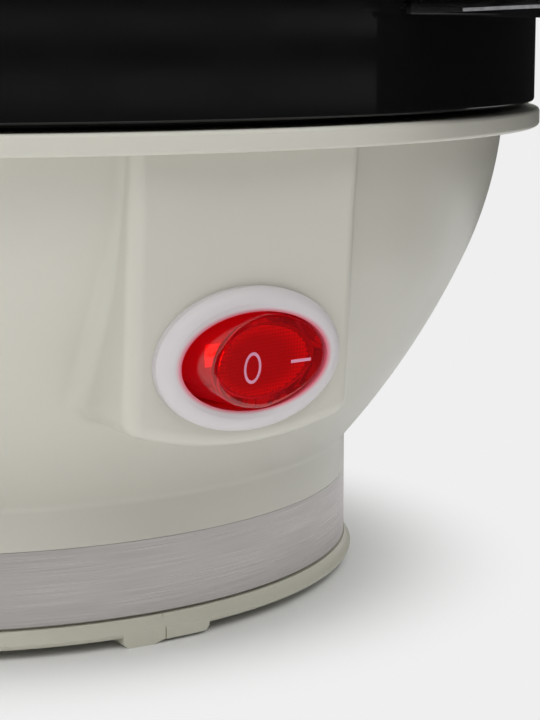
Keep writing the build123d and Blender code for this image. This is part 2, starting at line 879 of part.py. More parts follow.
def rocker_diffuser():
    """Thin plate under the face, hollowed like it, with a scalloped edge."""
    top = rocker_face - rocker_wall - seat_gap
    bottom = top - diffuser_thickness
    half_chord = opening_half_length - rocker_gap - rocker_face * math.tan(math.radians(rocker_tilt))
    half_length = half_chord - rocker_wall - diffuser_margin
    half_height = opening_half_height - rocker_gap - rocker_wall - diffuser_margin
    plate = extrude(Ellipse(half_length, half_height), 2 * rocker_face)
    plate = (plate & slab(bottom - rocker_dish, top)) - dish_cutter(top)
    plate = plate & dish_cutter(bottom)
    for index in range(diffuser_teeth):
        angle = 2 * math.pi * (index + 0.5) / diffuser_teeth
        notch = Pos(half_length * math.cos(angle), half_height * math.sin(angle), 0) * post(
            diffuser_tooth, 0, 2 * rocker_face
        )
        plate = plate - notch
    return in_rocker(plate, pivot_depth, rocker_tilt)


def rocker_carrier():
    """White block in the rocker's skirt, with the post that pushes the lever and a trough for the lamp."""
    block = rocker_prism(rocker_wall + seat_gap) & slab(-rocker_skirt + carrier_inset, carrier_top)
    block = block + post(post_radius, -post_reach + post_radius, 0)
    block = block + Pos(0, 0, -post_reach + post_radius) * Sphere(post_radius)
    trough = Cylinder(lamp_radius + 2 * seat_gap, lamp_length + 2 * lamp_radius + fit_gap)
    trough = Pos(0, 0, carrier_top) * (Rot(0, 90, 0) * trough)
    return in_rocker(block - trough, pivot_depth, rocker_tilt)


def neon_lamp():
    """Glass tube with rounded ends, lying in the carrier's trough."""
    body = Cylinder(lamp_radius, lamp_length)
    for side in (-1, 1):
        body = body + Pos(0, 0, side * lamp_length / 2) * Sphere(lamp_radius)
    return in_rocker(Pos(0, 0, carrier_top) * (Rot(0, 90, 0) * body), pivot_depth, rocker_tilt)


def contact_lever():
    """Brass see-saw that rocks on the middle blade by a half-round ridge under its middle."""
    strip = Box(lever_length, lever_width, lever_thickness)
    strip = fillet(strip.edges().filter_by(Axis.Z), lever_corner)
    ridge = (Rot(90, 0, 0) * Cylinder(bead_radius, lever_width)) & slab(-bead_radius, 0)
    return in_rocker(strip + ridge, lever_depth, -lever_tilt)


def tray_ear_outline(half_width, reach, corner):
    """Plan of one ear, drawn towards -Y, with rounded outer corners."""
    inner = tray_radius - tray_wall
    length = reach - inner / 2
    sketch = Pos(0, -inner / 2 - length / 2) * Rectangle(2 * half_width, length)
    outer_corners = sketch.vertices().sort_by(Axis.Y)[:2]
    return fillet(outer_corners, corner)


def ear_stock(half_width, reach, corner, bottom, slope, top):
    """Ear from bottom to top, whose underside falls by slope (or rises, if negative) towards its end."""
    block = Pos(0, 0, bottom - abs(slope)) * extrude(
        tray_ear_outline(half_width, reach, corner), top - bottom + abs(slope)
    )
    start = tray_radius
    run = reach - start
    far = reach + 20
    near = start - 40
    low = make_face(Polyline(
        (near, bottom + slope * (start - near) / run),
        (far, bottom - slope * (far - start) / run),
        (far, bottom - 30),
        (near, bottom - 30),
        close=True,
    ))
    return block - extrude(Plane.YZ * (Rot(0, 180, 0) * low), 2 * half_width, both=True)


def egg_tray():
    """Deep ring with a flat floor, seven collared egg holes, steam holes and two ears."""
    outer = tray_radius
    inner = outer - tray_wall
    skirt_inner = tray_skirt_radius - tray_wall
    floor_top = tray_bottom + tray_floor
    ring = turned(profile(
        (0, tray_bottom),
        (skirt_inner, tray_bottom),
        (skirt_inner, ledge_height),
        (tray_skirt_radius, ledge_height),
        (tray_skirt_radius, tray_bottom),
        (outer, tray_bottom),
        (outer, tray_top),
        (inner, tray_top),
        (inner, floor_top),
        (0, floor_top),
    ))
    ring = fillet(circles_of(ring, outer)[:1], tray_rounding)
    hollow = post(inner, tray_bottom, tray_top + 1)
    for turn in (0, 180):
        ear = ear_stock(ear_half_width, ear_reach, ear_corner, ear_bottom, ear_slope, ear_top) - hollow
        ring = ring + Rot(0, 0, ear_angle + turn) * ear
    step = 360 / egg_count
    places = [(0, 0)] + [(egg_circle, (index + 0.5) * step) for index in range(egg_count)]
    for radius, angle in places:
        collar = post(egg_hole_radius + egg_collar_wall, tray_bottom - egg_collar_depth, floor_top)
        ring = ring + spun(collar, angle, radius)
    for radius, angle in places:
        hole = post(egg_hole_radius, tray_bottom - egg_collar_depth - 1, floor_top + 1)
        cone = Pos(0, 0, floor_top - egg_hole_chamfer) * Cone(
            egg_hole_radius, egg_hole_radius + egg_hole_chamfer, egg_hole_chamfer,
            align=(Align.CENTER, Align.CENTER, Align.MIN),
        )
        ring = ring - spun(hole + cone, angle, radius)
    steam = post(steam_hole_radius, tray_bottom - 1, floor_top + 1)
    for index in range(egg_count):
        ring = ring - spun(steam, index * step, steam_hole_circle)
    return ring


def dome_face(inset):
    """Half section of the dome from its base to the axis: straight wall, shoulder arc, crown arc."""
    wall_radius = dome_radius - inset
    shoulder = dome_shoulder - inset
    top = dome_top - inset
    start_height = dome_base + dome_straight
    arm = wall_radius - shoulder
    rise = top - start_height
    crown = (arm ** 2 + rise ** 2 - shoulder ** 2) / (2 * (rise - shoulder))
    centre = top - crown
    reach = math.hypot(arm, start_height - centre)
    meet = (crown * arm / reach, centre + crown * (start_height - centre) / reach)
    bottom = lid_bottom - 1 if inset else lid_bottom
    edges = [
        Polyline((0, top), (0, bottom), (wall_radius, bottom), (wall_radius, start_height)),
        TangentArc((wall_radius, start_height), meet, tangent=(0, 1)),
        RadiusArc(meet, (0, top), -crown),
    ]
    return make_face(edges)


def lid_dome():
    """Clear dome with a flange on the tray's wall, a skirt inside it, lipped ears and steam holes."""
    flange_top = dome_base
    skirt_outer = tray_radius - tray_wall - fit_gap
    lid = revolve(Plane.XZ * dome_face(0), Axis.Z)
    lid = lid + turned(profile(
        (dome_radius - 1, lid_bottom),
        (lid_radius, lid_bottom),
        (lid_radius, flange_top),
        (dome_radius - 1, flange_top),
    ))
    lid = lid + turned(profile(
        (skirt_outer - lid_skirt_wall, lid_bottom - lid_skirt_depth),
        (skirt_outer, lid_bottom - lid_skirt_depth),
        (skirt_outer, flange_top),
        (skirt_outer - lid_skirt_wall, flange_top),
    ))
    lid = fillet(circles_of(lid, lid_radius)[-1:], lid_rounding)
    inner_half = ear_half_width + fit_gap
    inner_reach = ear_reach + fit_gap
    hollow = post(lid_radius - lid_rounding, tray_bottom, flange_top)
    for turn in (0, 180):
        top = flange_top
        ear = ear_stock(
            inner_half + lip_wall, inner_reach + lip_wall, ear_corner + lip_wall,
            ear_bottom + lip_lift, -lip_rise, top,
        )
        room = ear_stock(inner_half, inner_reach, ear_corner, tray_bottom, 0, lid_bottom)
        clear = post(tray_radius + fit_gap, tray_bottom, lid_bottom)
        lid = lid + Rot(0, 0, ear_angle + turn) * (ear - room - clear - hollow)
    lid = lid + post(knob_waist + knob_foot_flare + knob_seat_margin, dome_top - 3, knob_seat_top)
    lid = lid - revolve(Plane.XZ * dome_face(lid_wall), Axis.Z)
    vent = post(vent_radius, dome_base, dome_top + 1)
    for index in range(vent_count):
        lid = lid - spun(vent, 90 + index * 360 / vent_count, vent_circle)
    return lid - post(knob_screw_radius + screw_play, dome_base, dome_top + 1)


def lid_knob():
    """Round knob with a waist and a slightly crowned top, standing on the dome's flat seat."""
    low = knob_seat_top
    high = low + knob_height
    foot = knob_waist + knob_foot_flare
    brow = high - knob_brow
    edge = knob_radius - knob_edge
    crown = (edge ** 2 + knob_crown ** 2) / (2 * knob_crown)
    waist = (knob_waist, low + knob_waist_height)
    bulge = (knob_radius - knob_edge_bulge, brow + knob_edge_rise)
    edges = [
        Polyline((0, high), (0, low), (foot, low), (foot, low + knob_foot)),
        ThreePointArc((foot, low + knob_foot), waist, (knob_radius, brow)),
        ThreePointArc((knob_radius, brow), bulge, (edge, high - knob_crown)),
        RadiusArc((edge, high - knob_crown), (0, high), -crown),
    ]
    return turned(edges) - post(knob_screw_radius + seat_gap, low - 1, low + knob_bore_depth)


def knob_washer():
    """Dished washer whose rim bears on the inside of the dome, under the knob's screw."""
    top = dome_top - lid_wall
    low = top - washer_rim - washer_thickness
    disc = post(washer_radius, low, top) - post(washer_radius - washer_wall, low - 1, top - washer_thickness)
    disc = disc & revolve(Plane.XZ * dome_face(lid_wall), Axis.Z)
    return disc - post(knob_screw_radius + screw_play, low - 1, top + 1)


def knob_screw():
    top = dome_top - lid_wall - washer_thickness
    head = post(knob_screw_head, top - knob_screw_head_height, top)
    return head + post(knob_screw_radius, top, knob_seat_top + knob_screw_reach)


save("base_housing", base_housing())
save("basin_liner", basin_liner())
save("trim_band", trim_band())
save("bottom_cover", bottom_cover())
save("cover_screws", cover_screws())
save("cord_bushing", cord_bushing())
save("heating_plate", heating_plate())
save("plate_seal", plate_seal())
save("plate_clips", plate_clips())
save("clip_nuts", clip_nuts())
save("heater_element", heater_element())
save("thermostat", thermostat())
save("thermostat_strap", thermostat_strap())
save("thermal_fuse", thermal_fuse())
save("fuse_strap", fuse_strap())
save("terminal_block", terminal_block())
save("block_screw", block_screw())
save("switch_housing", switch_housing())
save("switch_terminals", switch_terminals())
save("contact_lever", contact_lever())
save("rocker_cap", rocker_cap())
save("rocker_diffuser", rocker_diffuser())
save("rocker_carrier", rocker_carrier())
save("neon_lamp", neon_lamp())
save("egg_tray", egg_tray())
save("lid_dome", lid_dome())
save("lid_knob", lid_knob())
save("knob_washer", knob_washer())
save("knob_screw", knob_screw())
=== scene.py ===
"""Looks of the electric egg cooker: its finishes, fine meshes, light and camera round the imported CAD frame.

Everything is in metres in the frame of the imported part: the origin is on the table under the bowl's axis,
+Z is up and the switch faces -Y. Fields whose name ends in _mm are millimetres, and angles are degrees.
"""
import json
import logging
import math
from collections.abc import Callable, Iterable
from dataclasses import dataclass
from enum import Enum

import bmesh
import bpy
from bpy.types import Material, Node, NodeSocket, NodeTree, Object
from mathutils import Matrix, Vector
from mathutils.geometry import tessellate_polygon


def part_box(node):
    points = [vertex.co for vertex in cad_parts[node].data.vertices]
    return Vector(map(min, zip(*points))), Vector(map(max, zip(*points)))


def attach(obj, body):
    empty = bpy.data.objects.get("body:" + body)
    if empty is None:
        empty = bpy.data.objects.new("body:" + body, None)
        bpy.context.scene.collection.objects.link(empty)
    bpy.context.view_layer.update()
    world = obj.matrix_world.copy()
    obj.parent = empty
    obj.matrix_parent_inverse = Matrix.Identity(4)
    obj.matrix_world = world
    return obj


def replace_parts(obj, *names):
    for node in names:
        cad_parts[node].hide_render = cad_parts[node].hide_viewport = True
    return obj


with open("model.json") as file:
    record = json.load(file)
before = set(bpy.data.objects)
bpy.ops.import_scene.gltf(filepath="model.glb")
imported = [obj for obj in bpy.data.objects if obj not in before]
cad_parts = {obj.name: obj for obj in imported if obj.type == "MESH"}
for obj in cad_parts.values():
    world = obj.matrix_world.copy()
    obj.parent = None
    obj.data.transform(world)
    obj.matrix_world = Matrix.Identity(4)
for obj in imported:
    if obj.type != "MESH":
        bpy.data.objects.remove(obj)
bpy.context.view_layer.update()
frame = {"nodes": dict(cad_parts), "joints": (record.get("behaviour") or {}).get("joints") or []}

MM = 0.001
# The middle of the switch pad's face, how far that face leans forward, and the turn that lays it flat.
SWITCH_PLACE_MM = Vector((0.0, -80.15, 41.0))
SWITCH_LEAN = 4.0
SWITCH_PITCH = 90 + SWITCH_LEAN
# Where the two ears of the tray and of the lid point, from -Y towards +X.
EAR_ANGLES = (33.6, 213.6)
# Edges sharper than this stay sharp, points nearer than this are welded, and a rounding has this many steps.
SHARP_EDGE = 35.0
WELD_MM = 0.0005
BEND_STEPS = 8
# Points of a piece of surface in millimetres, and its faces as numbers of points.
Skin = tuple[list[Vector], list[tuple[int, ...]]]
log = logging.getLogger("egg_cooker")


class Body(Enum):
    """Bodies of the frame that the new pieces ride on."""

    BASE = "base"
    ROCKER = "rocker"
    TRAY = "tray"
    LID = "lid"


def linear(code: str) -> tuple[float, float, float, float]:
    """Turns an sRGB hex colour into the linear colour that a shader takes.

    Args:
        code: Six hex digits, red first.

    Returns:
        Linear red, green and blue, and an alpha of 1.
    """
    channels = [int(code[start:start + 2], 16) / 255 for start in (0, 2, 4)]
    red, green, blue = [c / 12.92 if c <= 0.04045 else ((c + 0.055) / 1.055) ** 2.4 for c in channels]
    return red, green, blue, 1.0


def feed(tree: NodeTree, node: Node, inputs: dict) -> None:
    """Gives a node's inputs their values and links.

    Args:
        tree: Node tree that the node is in.
        node: Node to feed.
        inputs: Input's name or number, with the value or the output socket that it takes.
    """
    for key, value in inputs.items():
        if isinstance(value, NodeSocket):
            tree.links.new(value, node.inputs[key])
        else:
            node.inputs[key].default_value = value


def add_node(tree: NodeTree, kind: str, inputs: dict | None = None, **settings) -> Node:
    """Adds a shader node with its settings, its input values and its links.

    Args:
        tree: Node tree of a material or world.
        kind: Type of the node, as Blender names it after "ShaderNode".
        inputs: Input's name or number, with the value or the output socket that it takes.
        **settings: Properties of the node itself.

    Returns:
        The new node.
    """
    node = tree.nodes.new("ShaderNode" + kind)
    for name, value in settings.items():
        setattr(node, name, value)
    feed(tree, node, inputs or {})
    return node


def mesh_piece(name: str, *skins: Skin) -> Object:
    """Makes one smooth mesh object from skins drawn in millimetres.

    Args:
        name: Name of the piece.
        *skins: Points and faces of each skin.

    Returns:
        The new object, linked to the scene.
    """
    points, faces = [], []
    for skin_points, skin_faces in skins:
        faces += [tuple(number + len(points) for number in face) for face in skin_faces]
        points += [tuple(point * MM) for point in skin_points]
    mesh = bpy.data.meshes.new(name)
    mesh.from_pydata(points, [], faces)
    mesh.validate()
    shape = bmesh.new()
    shape.from_mesh(mesh)
    bmesh.ops.remove_doubles(shape, verts=shape.verts, dist=WELD_MM * MM)
    bmesh.ops.recalc_face_normals(shape, faces=shape.faces)
    shape.to_mesh(mesh)
    shape.free()
    mesh.shade_smooth()
    mesh.set_sharp_from_angle(angle=math.radians(SHARP_EDGE))
    piece = bpy.data.objects.new(name, mesh)
    bpy.context.scene.collection.objects.link(piece)
    piece.modifiers.new("shading", "WEIGHTED_NORMAL").keep_sharp = True
    return piece


def loft(rings: list[list[Vector]], closed: bool = True, joined: bool = False) -> Skin:
    """Joins rings of equal length into one skin.

    Args:
        rings: Rings of points, in order along the skin.
        closed: Whether each ring runs back to its first point.
        joined: Whether the last ring meets the first.

    Returns:
        The skin.
    """
    count = len(rings[0])
    faces = []
    for row in range(len(rings) if joined else len(rings) - 1):
        below, above = row * count, (row + 1) % len(rings) * count
        for step in range(count if closed else count - 1):
            after = (step + 1) % count
            faces.append((below + step, below + after, above + after, above + step))
    return [point for ring in rings for point in ring], faces


def sheet(ring: list[Vector]) -> Skin:
    """Fills a flat ring with one face."""
    return list(ring), [tuple(range(len(ring)))]


def turns(count: int, start: float = 0.0) -> list[float]:
    """Gives even angles round one full turn, in radians, from a start given in steps."""
    return [2 * math.pi * (step + start) / count for step in range(count)]


def turned(outline: list[Vector], segments: int = 360, place: Vector = Vector()) -> Skin:
    """Turns a closed outline about an upright axis.

    Args:
        outline: Points as radius and height.
        segments: Number of steps round the axis.
        place: Where the axis stands.

    Returns:
        The turned skin.
    """
    rings = [[place + Vector((r * math.sin(turn), -r * math.cos(turn), z)) for r, z in outline]
             for turn in turns(segments)]
    return loft(rings, joined=True)


def circle(place: Vector, radius: float, height: float, segments: int = 96) -> list[Vector]:
    """Makes a level ring of points round an upright axis."""
    return [Vector((place.x + radius * math.cos(turn), place.y + radius * math.sin(turn), height))
            for turn in turns(segments)]


def around(radius: float, angles: Iterable[float]) -> list[Vector]:
    """Gives places on a circle round the Z axis, by their angles in degrees from -Y towards +X."""
    return [Vector((math.sin(math.radians(a)), -math.cos(math.radians(a)), 0.0)) * radius for a in angles]


def pierced(rings: list[list[Vector]]) -> Skin:
    """Fills a level outline, leaving the other rings open as holes."""
    return [point for ring in rings for point in ring], [tuple(face) for face in tessellate_polygon(rings)]


def rounded(corners: list[tuple[float, float, float]], steps: int = 6) -> list[Vector]:
    """Rounds the corners of a closed outline.

    Args:
        corners: Place of each corner and its rounding, in order.
        steps: Number of steps along a rounding.

    Returns:
        Points of the outline.
    """
    outline = []
    for index, (x, y, rounding) in enumerate(corners):
        corner = Vector((x, y))
        if not rounding:
            outline.append(corner)
            continue
        before = (Vector(corners[index - 1][:2]) - corner).normalized()
        after = (Vector(corners[(index + 1) % len(corners)][:2]) - corner).normalized()
        half = before.angle(after) / 2
        centre = corner + (before + after).normalized() * rounding / math.sin(half)
        start = corner + before * rounding / math.tan(half) - centre
        end = corner + after * rounding / math.tan(half) - centre
        outline += [centre + start.slerp(end, step / steps) * rounding for step in range(steps + 1)]
    return outline


def root(drop: Callable[[float], float], low: float, high: float) -> float:
    """Finds where a falling function reaches zero.

    Args:
        drop: Function that is positive at low and negative at high.
        low: Lower end of the search.
        high: Upper end.

    Returns:
        The place of the zero.
    """
    for _ in range(30):
        middle = (low + high) / 2
        if drop(middle) > 0:
            low = middle
        else:
            high = middle
    return (low + high) / 2


def remove_faces(piece: Object, inside: Callable[[Vector], bool]) -> None:
    """Opens a window in a piece.

    Args:
        piece: Piece to open.
        inside: Tells whether a face with this middle, in millimetres, lies in the window.
    """
    shape = bmesh.new()
    shape.from_mesh(piece.data)
    window = [face for face in shape.faces if inside(face.calc_center_median() / MM)]
    bmesh.ops.delete(shape, geom=window, context="FACES")
    shape.to_mesh(piece.data)
    shape.free()


class Surface:
    """A material under way: the node tree and the shader that a finish works on."""

    def __init__(self, name: str, colour: str, roughness: float) -> None:
        """Starts the material with one colour and one roughness.

        Args:
            name: Name of the material.
            colour: Hex colour.
            roughness: Roughness of the whole surface.
        """
        self.material = bpy.data.materials.new(name)
        self.material.use_nodes = True
        self.colour = linear(colour)
        self.material.diffuse_color = self.colour
        self.tree = self.material.node_tree
        self.shader = self.tree.nodes["Principled BSDF"]
        self.give({"Base Color": self.colour, "Roughness": roughness})

    def give(self, inputs: dict) -> None:
        """Gives the shader's own sockets their values and links."""
        feed(self.tree, self.shader, inputs)

    def grain(self, size_mm: float, detail: float = 2.0,
              stretch: tuple[float, float, float] = (1.0, 1.0, 1.0)) -> NodeSocket:
        """Adds an even grain fixed to the piece.

        Args:
            size_mm: Size of one grain.
            detail: How many finer layers it has.
            stretch: Scale of the pattern along each axis; less than 1 draws it out.

        Returns:
            The grain, from 0 to 1.
        """
        place = add_node(self.tree, "TexCoord")
        drawn = add_node(self.tree, "Mapping", {"Vector": place.outputs["Object"], "Scale": stretch})
        noise = add_node(self.tree, "TexNoise", {
            "Vector": drawn.outputs["Vector"], "Scale": 1 / (size_mm * MM), "Detail": detail,
        })
        return noise.outputs["Fac"]

    def away(self, size_mm: tuple[float, float]) -> NodeSocket:
        """Adds the distance from the switch's axis, as a share of an oval on the switch pad.

        Args:
            size_mm: Half axes of the oval.

        Returns:
            The distance, which is 1 on the oval.
        """
        place = add_node(self.tree, "TexCoord")
        oval = add_node(self.tree, "Mapping", {
            "Vector": place.outputs["Object"], "Location": (SWITCH_PLACE_MM * MM)[:],
            "Rotation": (math.radians(SWITCH_PITCH), 0.0, 0.0), "Scale": (size_mm[0] * MM, size_mm[1] * MM, 1.0),
        }, vector_type="TEXTURE")
        length = add_node(self.tree, "VectorMath", {0: oval.outputs["Vector"]}, operation="LENGTH")
        return length.outputs["Value"]

    def vary(self, pattern: NodeSocket, low: float, high: float) -> None:
        """Lets a grain move the roughness between two limits.

        Args:
            pattern: Grain from 0 to 1.
            low: Roughness in the grain's dark places.
            high: Roughness in its bright places.
        """
        spread = add_node(self.tree, "MapRange", {
            "Value": pattern, "From Min": 0.2, "From Max": 0.8, "To Min": low, "To Max": high,
        }, interpolation_type="SMOOTHSTEP")
        self.give({"Roughness": spread.outputs["Result"]})

    def cloud(self, pattern: NodeSocket, other: str) -> None:
        """Lets a grain shift the base colour towards another one.

        Args:
            pattern: Grain from 0 to 1.
            other: Hex colour of the grain's bright places.
        """
        mix = add_node(self.tree, "Mix", {0: pattern, 6: self.colour, 7: linear(other)}, data_type="RGBA")
        self.give({"Base Color": mix.outputs[2]})

    def relief(self, pattern: NodeSocket, depth_mm: float) -> None:
        """Presses a grain into the surface.

        Args:
            pattern: Grain from 0 to 1.
            depth_mm: How deep it goes.
        """
        bump = add_node(self.tree, "Bump", {"Height": pattern, "Strength": 1.0, "Distance": depth_mm * MM})
        self.give({"Normal": bump.outputs["Normal"]})


@dataclass(frozen=True)
class Finish:
    """A material as it comes from its maker: one colour and one roughness, to be given a grain."""

    name: str
    colour: str
    roughness: float

    def material(self) -> Material:
        """Builds the material.

        Returns:
            The material with its grain.
        """
        surface = Surface(self.name, self.colour, self.roughness)
        self.work(surface)
        return surface.material

    def work(self, surface: Surface) -> None:
        """Gives the surface its grain, which each kind of finish has of its own."""
        raise NotImplementedError


@dataclass(frozen=True)
class MouldedPlastic(Finish):
    """Injection-moulded thermoplastic. The eye sees a nearly even colour under a soft gloss, with the
    faint orange peel of the polished mould and slow clouds where the melt flowed."""

    shade: str
    peel_mm: float = 1.4
    peel_depth_mm: float = 0.004
    cloud_mm: float = 38.0
    ior: float = 1.53
    gloss_mm: float = 9.0
    gloss_spread: float = 0.03

    def work(self, surface: Surface) -> None:
        """Adds the orange peel, the uneven gloss and the tint.

        Args:
            surface: Material under way.
        """
        surface.give({"IOR": self.ior})
        self.tint(surface)
        surface.relief(surface.grain(self.peel_mm, 1.0), self.peel_depth_mm)
        surface.vary(surface.grain(self.gloss_mm), self.roughness - self.gloss_spread,
                     self.roughness + self.gloss_spread)

    def tint(self, surface: Surface) -> None:
        """Adds the slow clouds of the melt."""
        surface.cloud(surface.grain(self.cloud_mm, 1.0), self.shade)


@dataclass(frozen=True)
class BrushedStainless(Finish):
    """Stainless strip, brushed along its length. The eye sees fine lines that run round the neck and a
    highlight that they stretch upwards. Real lines are 0.05 mm apart; these are drawn 0.16 mm apart to show."""

    shade: str
    line_mm: float = 0.16
    line_length_mm: float = 14.0
    line_depth_mm: float = 0.0016
    anisotropy: float = 0.75

    def work(self, surface: Surface) -> None:
        """Brushes the steel round the Z axis.

        Args:
            surface: Material under way.
        """
        tree = surface.tree
        tangent = add_node(tree, "Tangent", direction_type="RADIAL", axis="Z")
        surface.give({"Metallic": 1.0, "Anisotropic": self.anisotropy, "Tangent": tangent.outputs["Tangent"]})
        place = add_node(tree, "TexCoord")
        axes = add_node(tree, "SeparateXYZ", {0: place.outputs["Object"]})
        turn = add_node(tree, "Math", {0: axes.outputs["Y"], 1: axes.outputs["X"]}, operation="ARCTAN2")
        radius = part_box("trim_band")[1].x
        length, height = (add_node(tree, "Math", {0: way, 1: scale}, operation="MULTIPLY") for way, scale in (
            (turn.outputs[0], radius / (self.line_length_mm * MM)), (axes.outputs["Z"], 1 / (self.line_mm * MM))))
        strip = add_node(tree, "CombineXYZ", {"X": length.outputs[0], "Y": height.outputs[0]})
        noise = add_node(tree, "TexNoise", {"Vector": strip.outputs[0], "Scale": 1.0, "Detail": 4.0})
        lines = noise.outputs["Fac"]
        surface.cloud(lines, self.shade)
        surface.relief(lines, self.line_depth_mm)
        surface.vary(lines, self.roughness - 0.05, self.roughness + 0.07)


@dataclass(frozen=True)
class ClearPolycarbonate(Finish):
    """Clear moulded polycarbonate. The eye sees bright edges, a slight bend of what lies behind and very
    faint flow waves in the surface."""

    wave_mm: float = 12.0
    wave_depth_mm: float = 0.01
    haze_mm: float = 6.0
    ior: float = 1.58

    def work(self, surface: Surface) -> None:
        """Clears the plastic and adds its flow waves.

        Args:
            surface: Material under way.
        """
        surface.give({"Transmission Weight": 1.0, "IOR": self.ior})
        surface.relief(surface.grain(self.wave_mm, 1.0), self.wave_depth_mm)
        surface.vary(surface.grain(self.haze_mm), 0.0, 2 * self.roughness)


@dataclass(frozen=True)
class LitRedPlastic(Finish):
    """Red-tinted polycarbonate over a glowing lamp. The eye sees deep clear red that brightens towards the
    lamp and a hard gloss on top. Its emission is a painted glow of the lamp's light, except in the neon
    lamp's own glass, which is the lamp."""

    glow: str
    glow_strength: float
    clear: float
    ior: float = 1.58
    gloss: float = 0.5
    haze_mm: float = 2.5
    peel_mm: float = 2.0
    peel_depth_mm: float = 0.004

    def work(self, surface: Surface) -> None:
        """Adds the glow, painted lamp light except in the lamp's own glass, its uneven gloss and a faint peel.

        Args:
            surface: Material under way.
        """
        # Painted light: the emission stands in for the lamp's light, except in the neon lamp's own glass.
        surface.give({
            "Transmission Weight": self.clear, "IOR": self.ior, "Specular IOR Level": self.gloss,
            "Emission Color": linear(self.glow), "Emission Strength": self.glow_strength,
        })
        surface.vary(surface.grain(self.haze_mm), self.roughness * 0.7, self.roughness * 1.3)
        surface.relief(surface.grain(self.peel_mm, 1.0), self.peel_depth_mm)


@dataclass(frozen=True)
class DottedDiffuser(LitRedPlastic):
    """Diffuser plate under the clear cap, moulded with rows of small dots. Its red glow is painted light of the
    lamp behind it, brightest round its edge, and seen through a fine grid of dark dots."""

    pitch_mm: float = 0.45
    plate_mm: tuple[float, float] = (8.2, 4.6)

    def work(self, surface: Surface) -> None:
        """Adds the dots and the painted bright edge to the painted glow.

        Args:
            surface: Material under way.
        """
        super().work(surface)
        tree = surface.tree
        place = add_node(tree, "TexCoord")
        level = add_node(tree, "Mapping", {
            "Vector": place.outputs["Object"], "Rotation": (math.radians(SWITCH_PITCH), 0.0, 0.0),
        }, vector_type="TEXTURE")
        cells = add_node(tree, "TexVoronoi", {
            "Vector": level.outputs["Vector"], "Scale": 1 / (self.pitch_mm * MM), "Randomness": 0.0,
        }, voronoi_dimensions="2D")
        dots = add_node(tree, "MapRange", {
            "Value": cells.outputs["Distance"], "From Min": 0.15, "From Max": 0.45, "To Min": 0.4, "To Max": 1.0,
        }, interpolation_type="SMOOTHSTEP")
        # Painted light: the glow brightens towards the plate's edge.
        edge = add_node(tree, "MapRange", {
            "Value": surface.away(self.plate_mm), "From Min": 0.55, "From Max": 1.0,
            "To Min": 0.45 * self.glow_strength, "To Max": self.glow_strength,
        }, interpolation_type="SMOOTHSTEP")
        glow = add_node(tree, "Math", {0: dots.outputs["Result"], 1: edge.outputs["Result"]},
                        operation="MULTIPLY")
        surface.give({"Emission Strength": glow.outputs[0]})


@dataclass(frozen=True)
class BezelWithPaintedRedGlow(MouldedPlastic):
    """White frame of the switch with a plain soft gloss. For a millimetre round the opening its colour turns
    to its shade, a painted red glow of the lamp's light, and the frame gives off painted red light there."""

    # glow and glow_strength: painted red light that the frame gives off round the opening, though it is no lamp.
    glow: str = "E01828"
    glow_strength: float = 0.3
    opening_mm: tuple[float, float] = (10.2, 6.0)

    def tint(self, surface: Surface) -> None:
        """Adds the painted red glow of the lamp round the opening in place of clouds.

        Args:
            surface: Material under way.
        """
        away = surface.away(self.opening_mm)
        # Painted light: near the opening the colour turns to the shade, a painted red glow.
        share = add_node(surface.tree, "MapRange", {
            "Value": away, "From Min": 0.99, "From Max": 1.09, "To Min": 1.0, "To Max": 0.0,
        }, interpolation_type="SMOOTHSTEP")
        surface.cloud(share.outputs["Result"], self.shade)
        # Painted light: just inside the opening the frame gives off a painted red glow.
        lit = add_node(surface.tree, "MapRange", {
            "Value": away, "From Min": 0.93, "From Max": 1.0, "To Min": self.glow_strength, "To Max": 0.0,
        })
        surface.give({"Emission Color": linear(self.glow), "Emission Strength": lit.outputs["Result"]})


@dataclass(frozen=True)
class WorkedMetal(Finish):
    """Sheet, wire or bar metal as it leaves the press or the plating bath. The eye sees a grey or yellow
    shine, a little uneven, with fine scuffs."""

    shade: str
    cloud_mm: float = 7.0
    scuff_mm: float = 1.2
    scuff_depth_mm: float = 0.003
    scuff_stretch: tuple[float, float, float] = (1.0, 0.15, 1.0)

    def work(self, surface: Surface) -> None:
        """Adds the uneven shine and the scuffs.

        Args:
            surface: Material under way.
        """
        surface.give({"Metallic": 1.0})
        surface.cloud(surface.grain(self.cloud_mm), self.shade)
        surface.vary(surface.grain(self.scuff_mm, 4.0), self.roughness - 0.08, self.roughness + 0.1)
        surface.relief(surface.grain(self.scuff_mm, 3.0, self.scuff_stretch), self.scuff_depth_mm)


@dataclass(frozen=True)
class SoftRubber(Finish):
    """Silicone or soft vinyl. The eye sees a dull even colour with a fine matt grain."""

    shade: str
    cloud_mm: float = 3.0
    matt_mm: float = 0.4
    matt_depth_mm: float = 0.01
    ior: float = 1.41

    def work(self, surface: Surface) -> None:
        """Adds the matt grain.

        Args:
            surface: Material under way.
        """
        surface.give({"IOR": self.ior})
        surface.cloud(surface.grain(self.cloud_mm), self.shade)
        surface.relief(surface.grain(self.matt_mm), self.matt_depth_mm)


CREAM_ABS = MouldedPlastic("cream_abs_moulded", "C3C1B6", 0.33, "C6C4BA")
CREAM_COVER = MouldedPlastic("cream_abs_satin", "C3C1B2", 0.42, "C6C4B6")
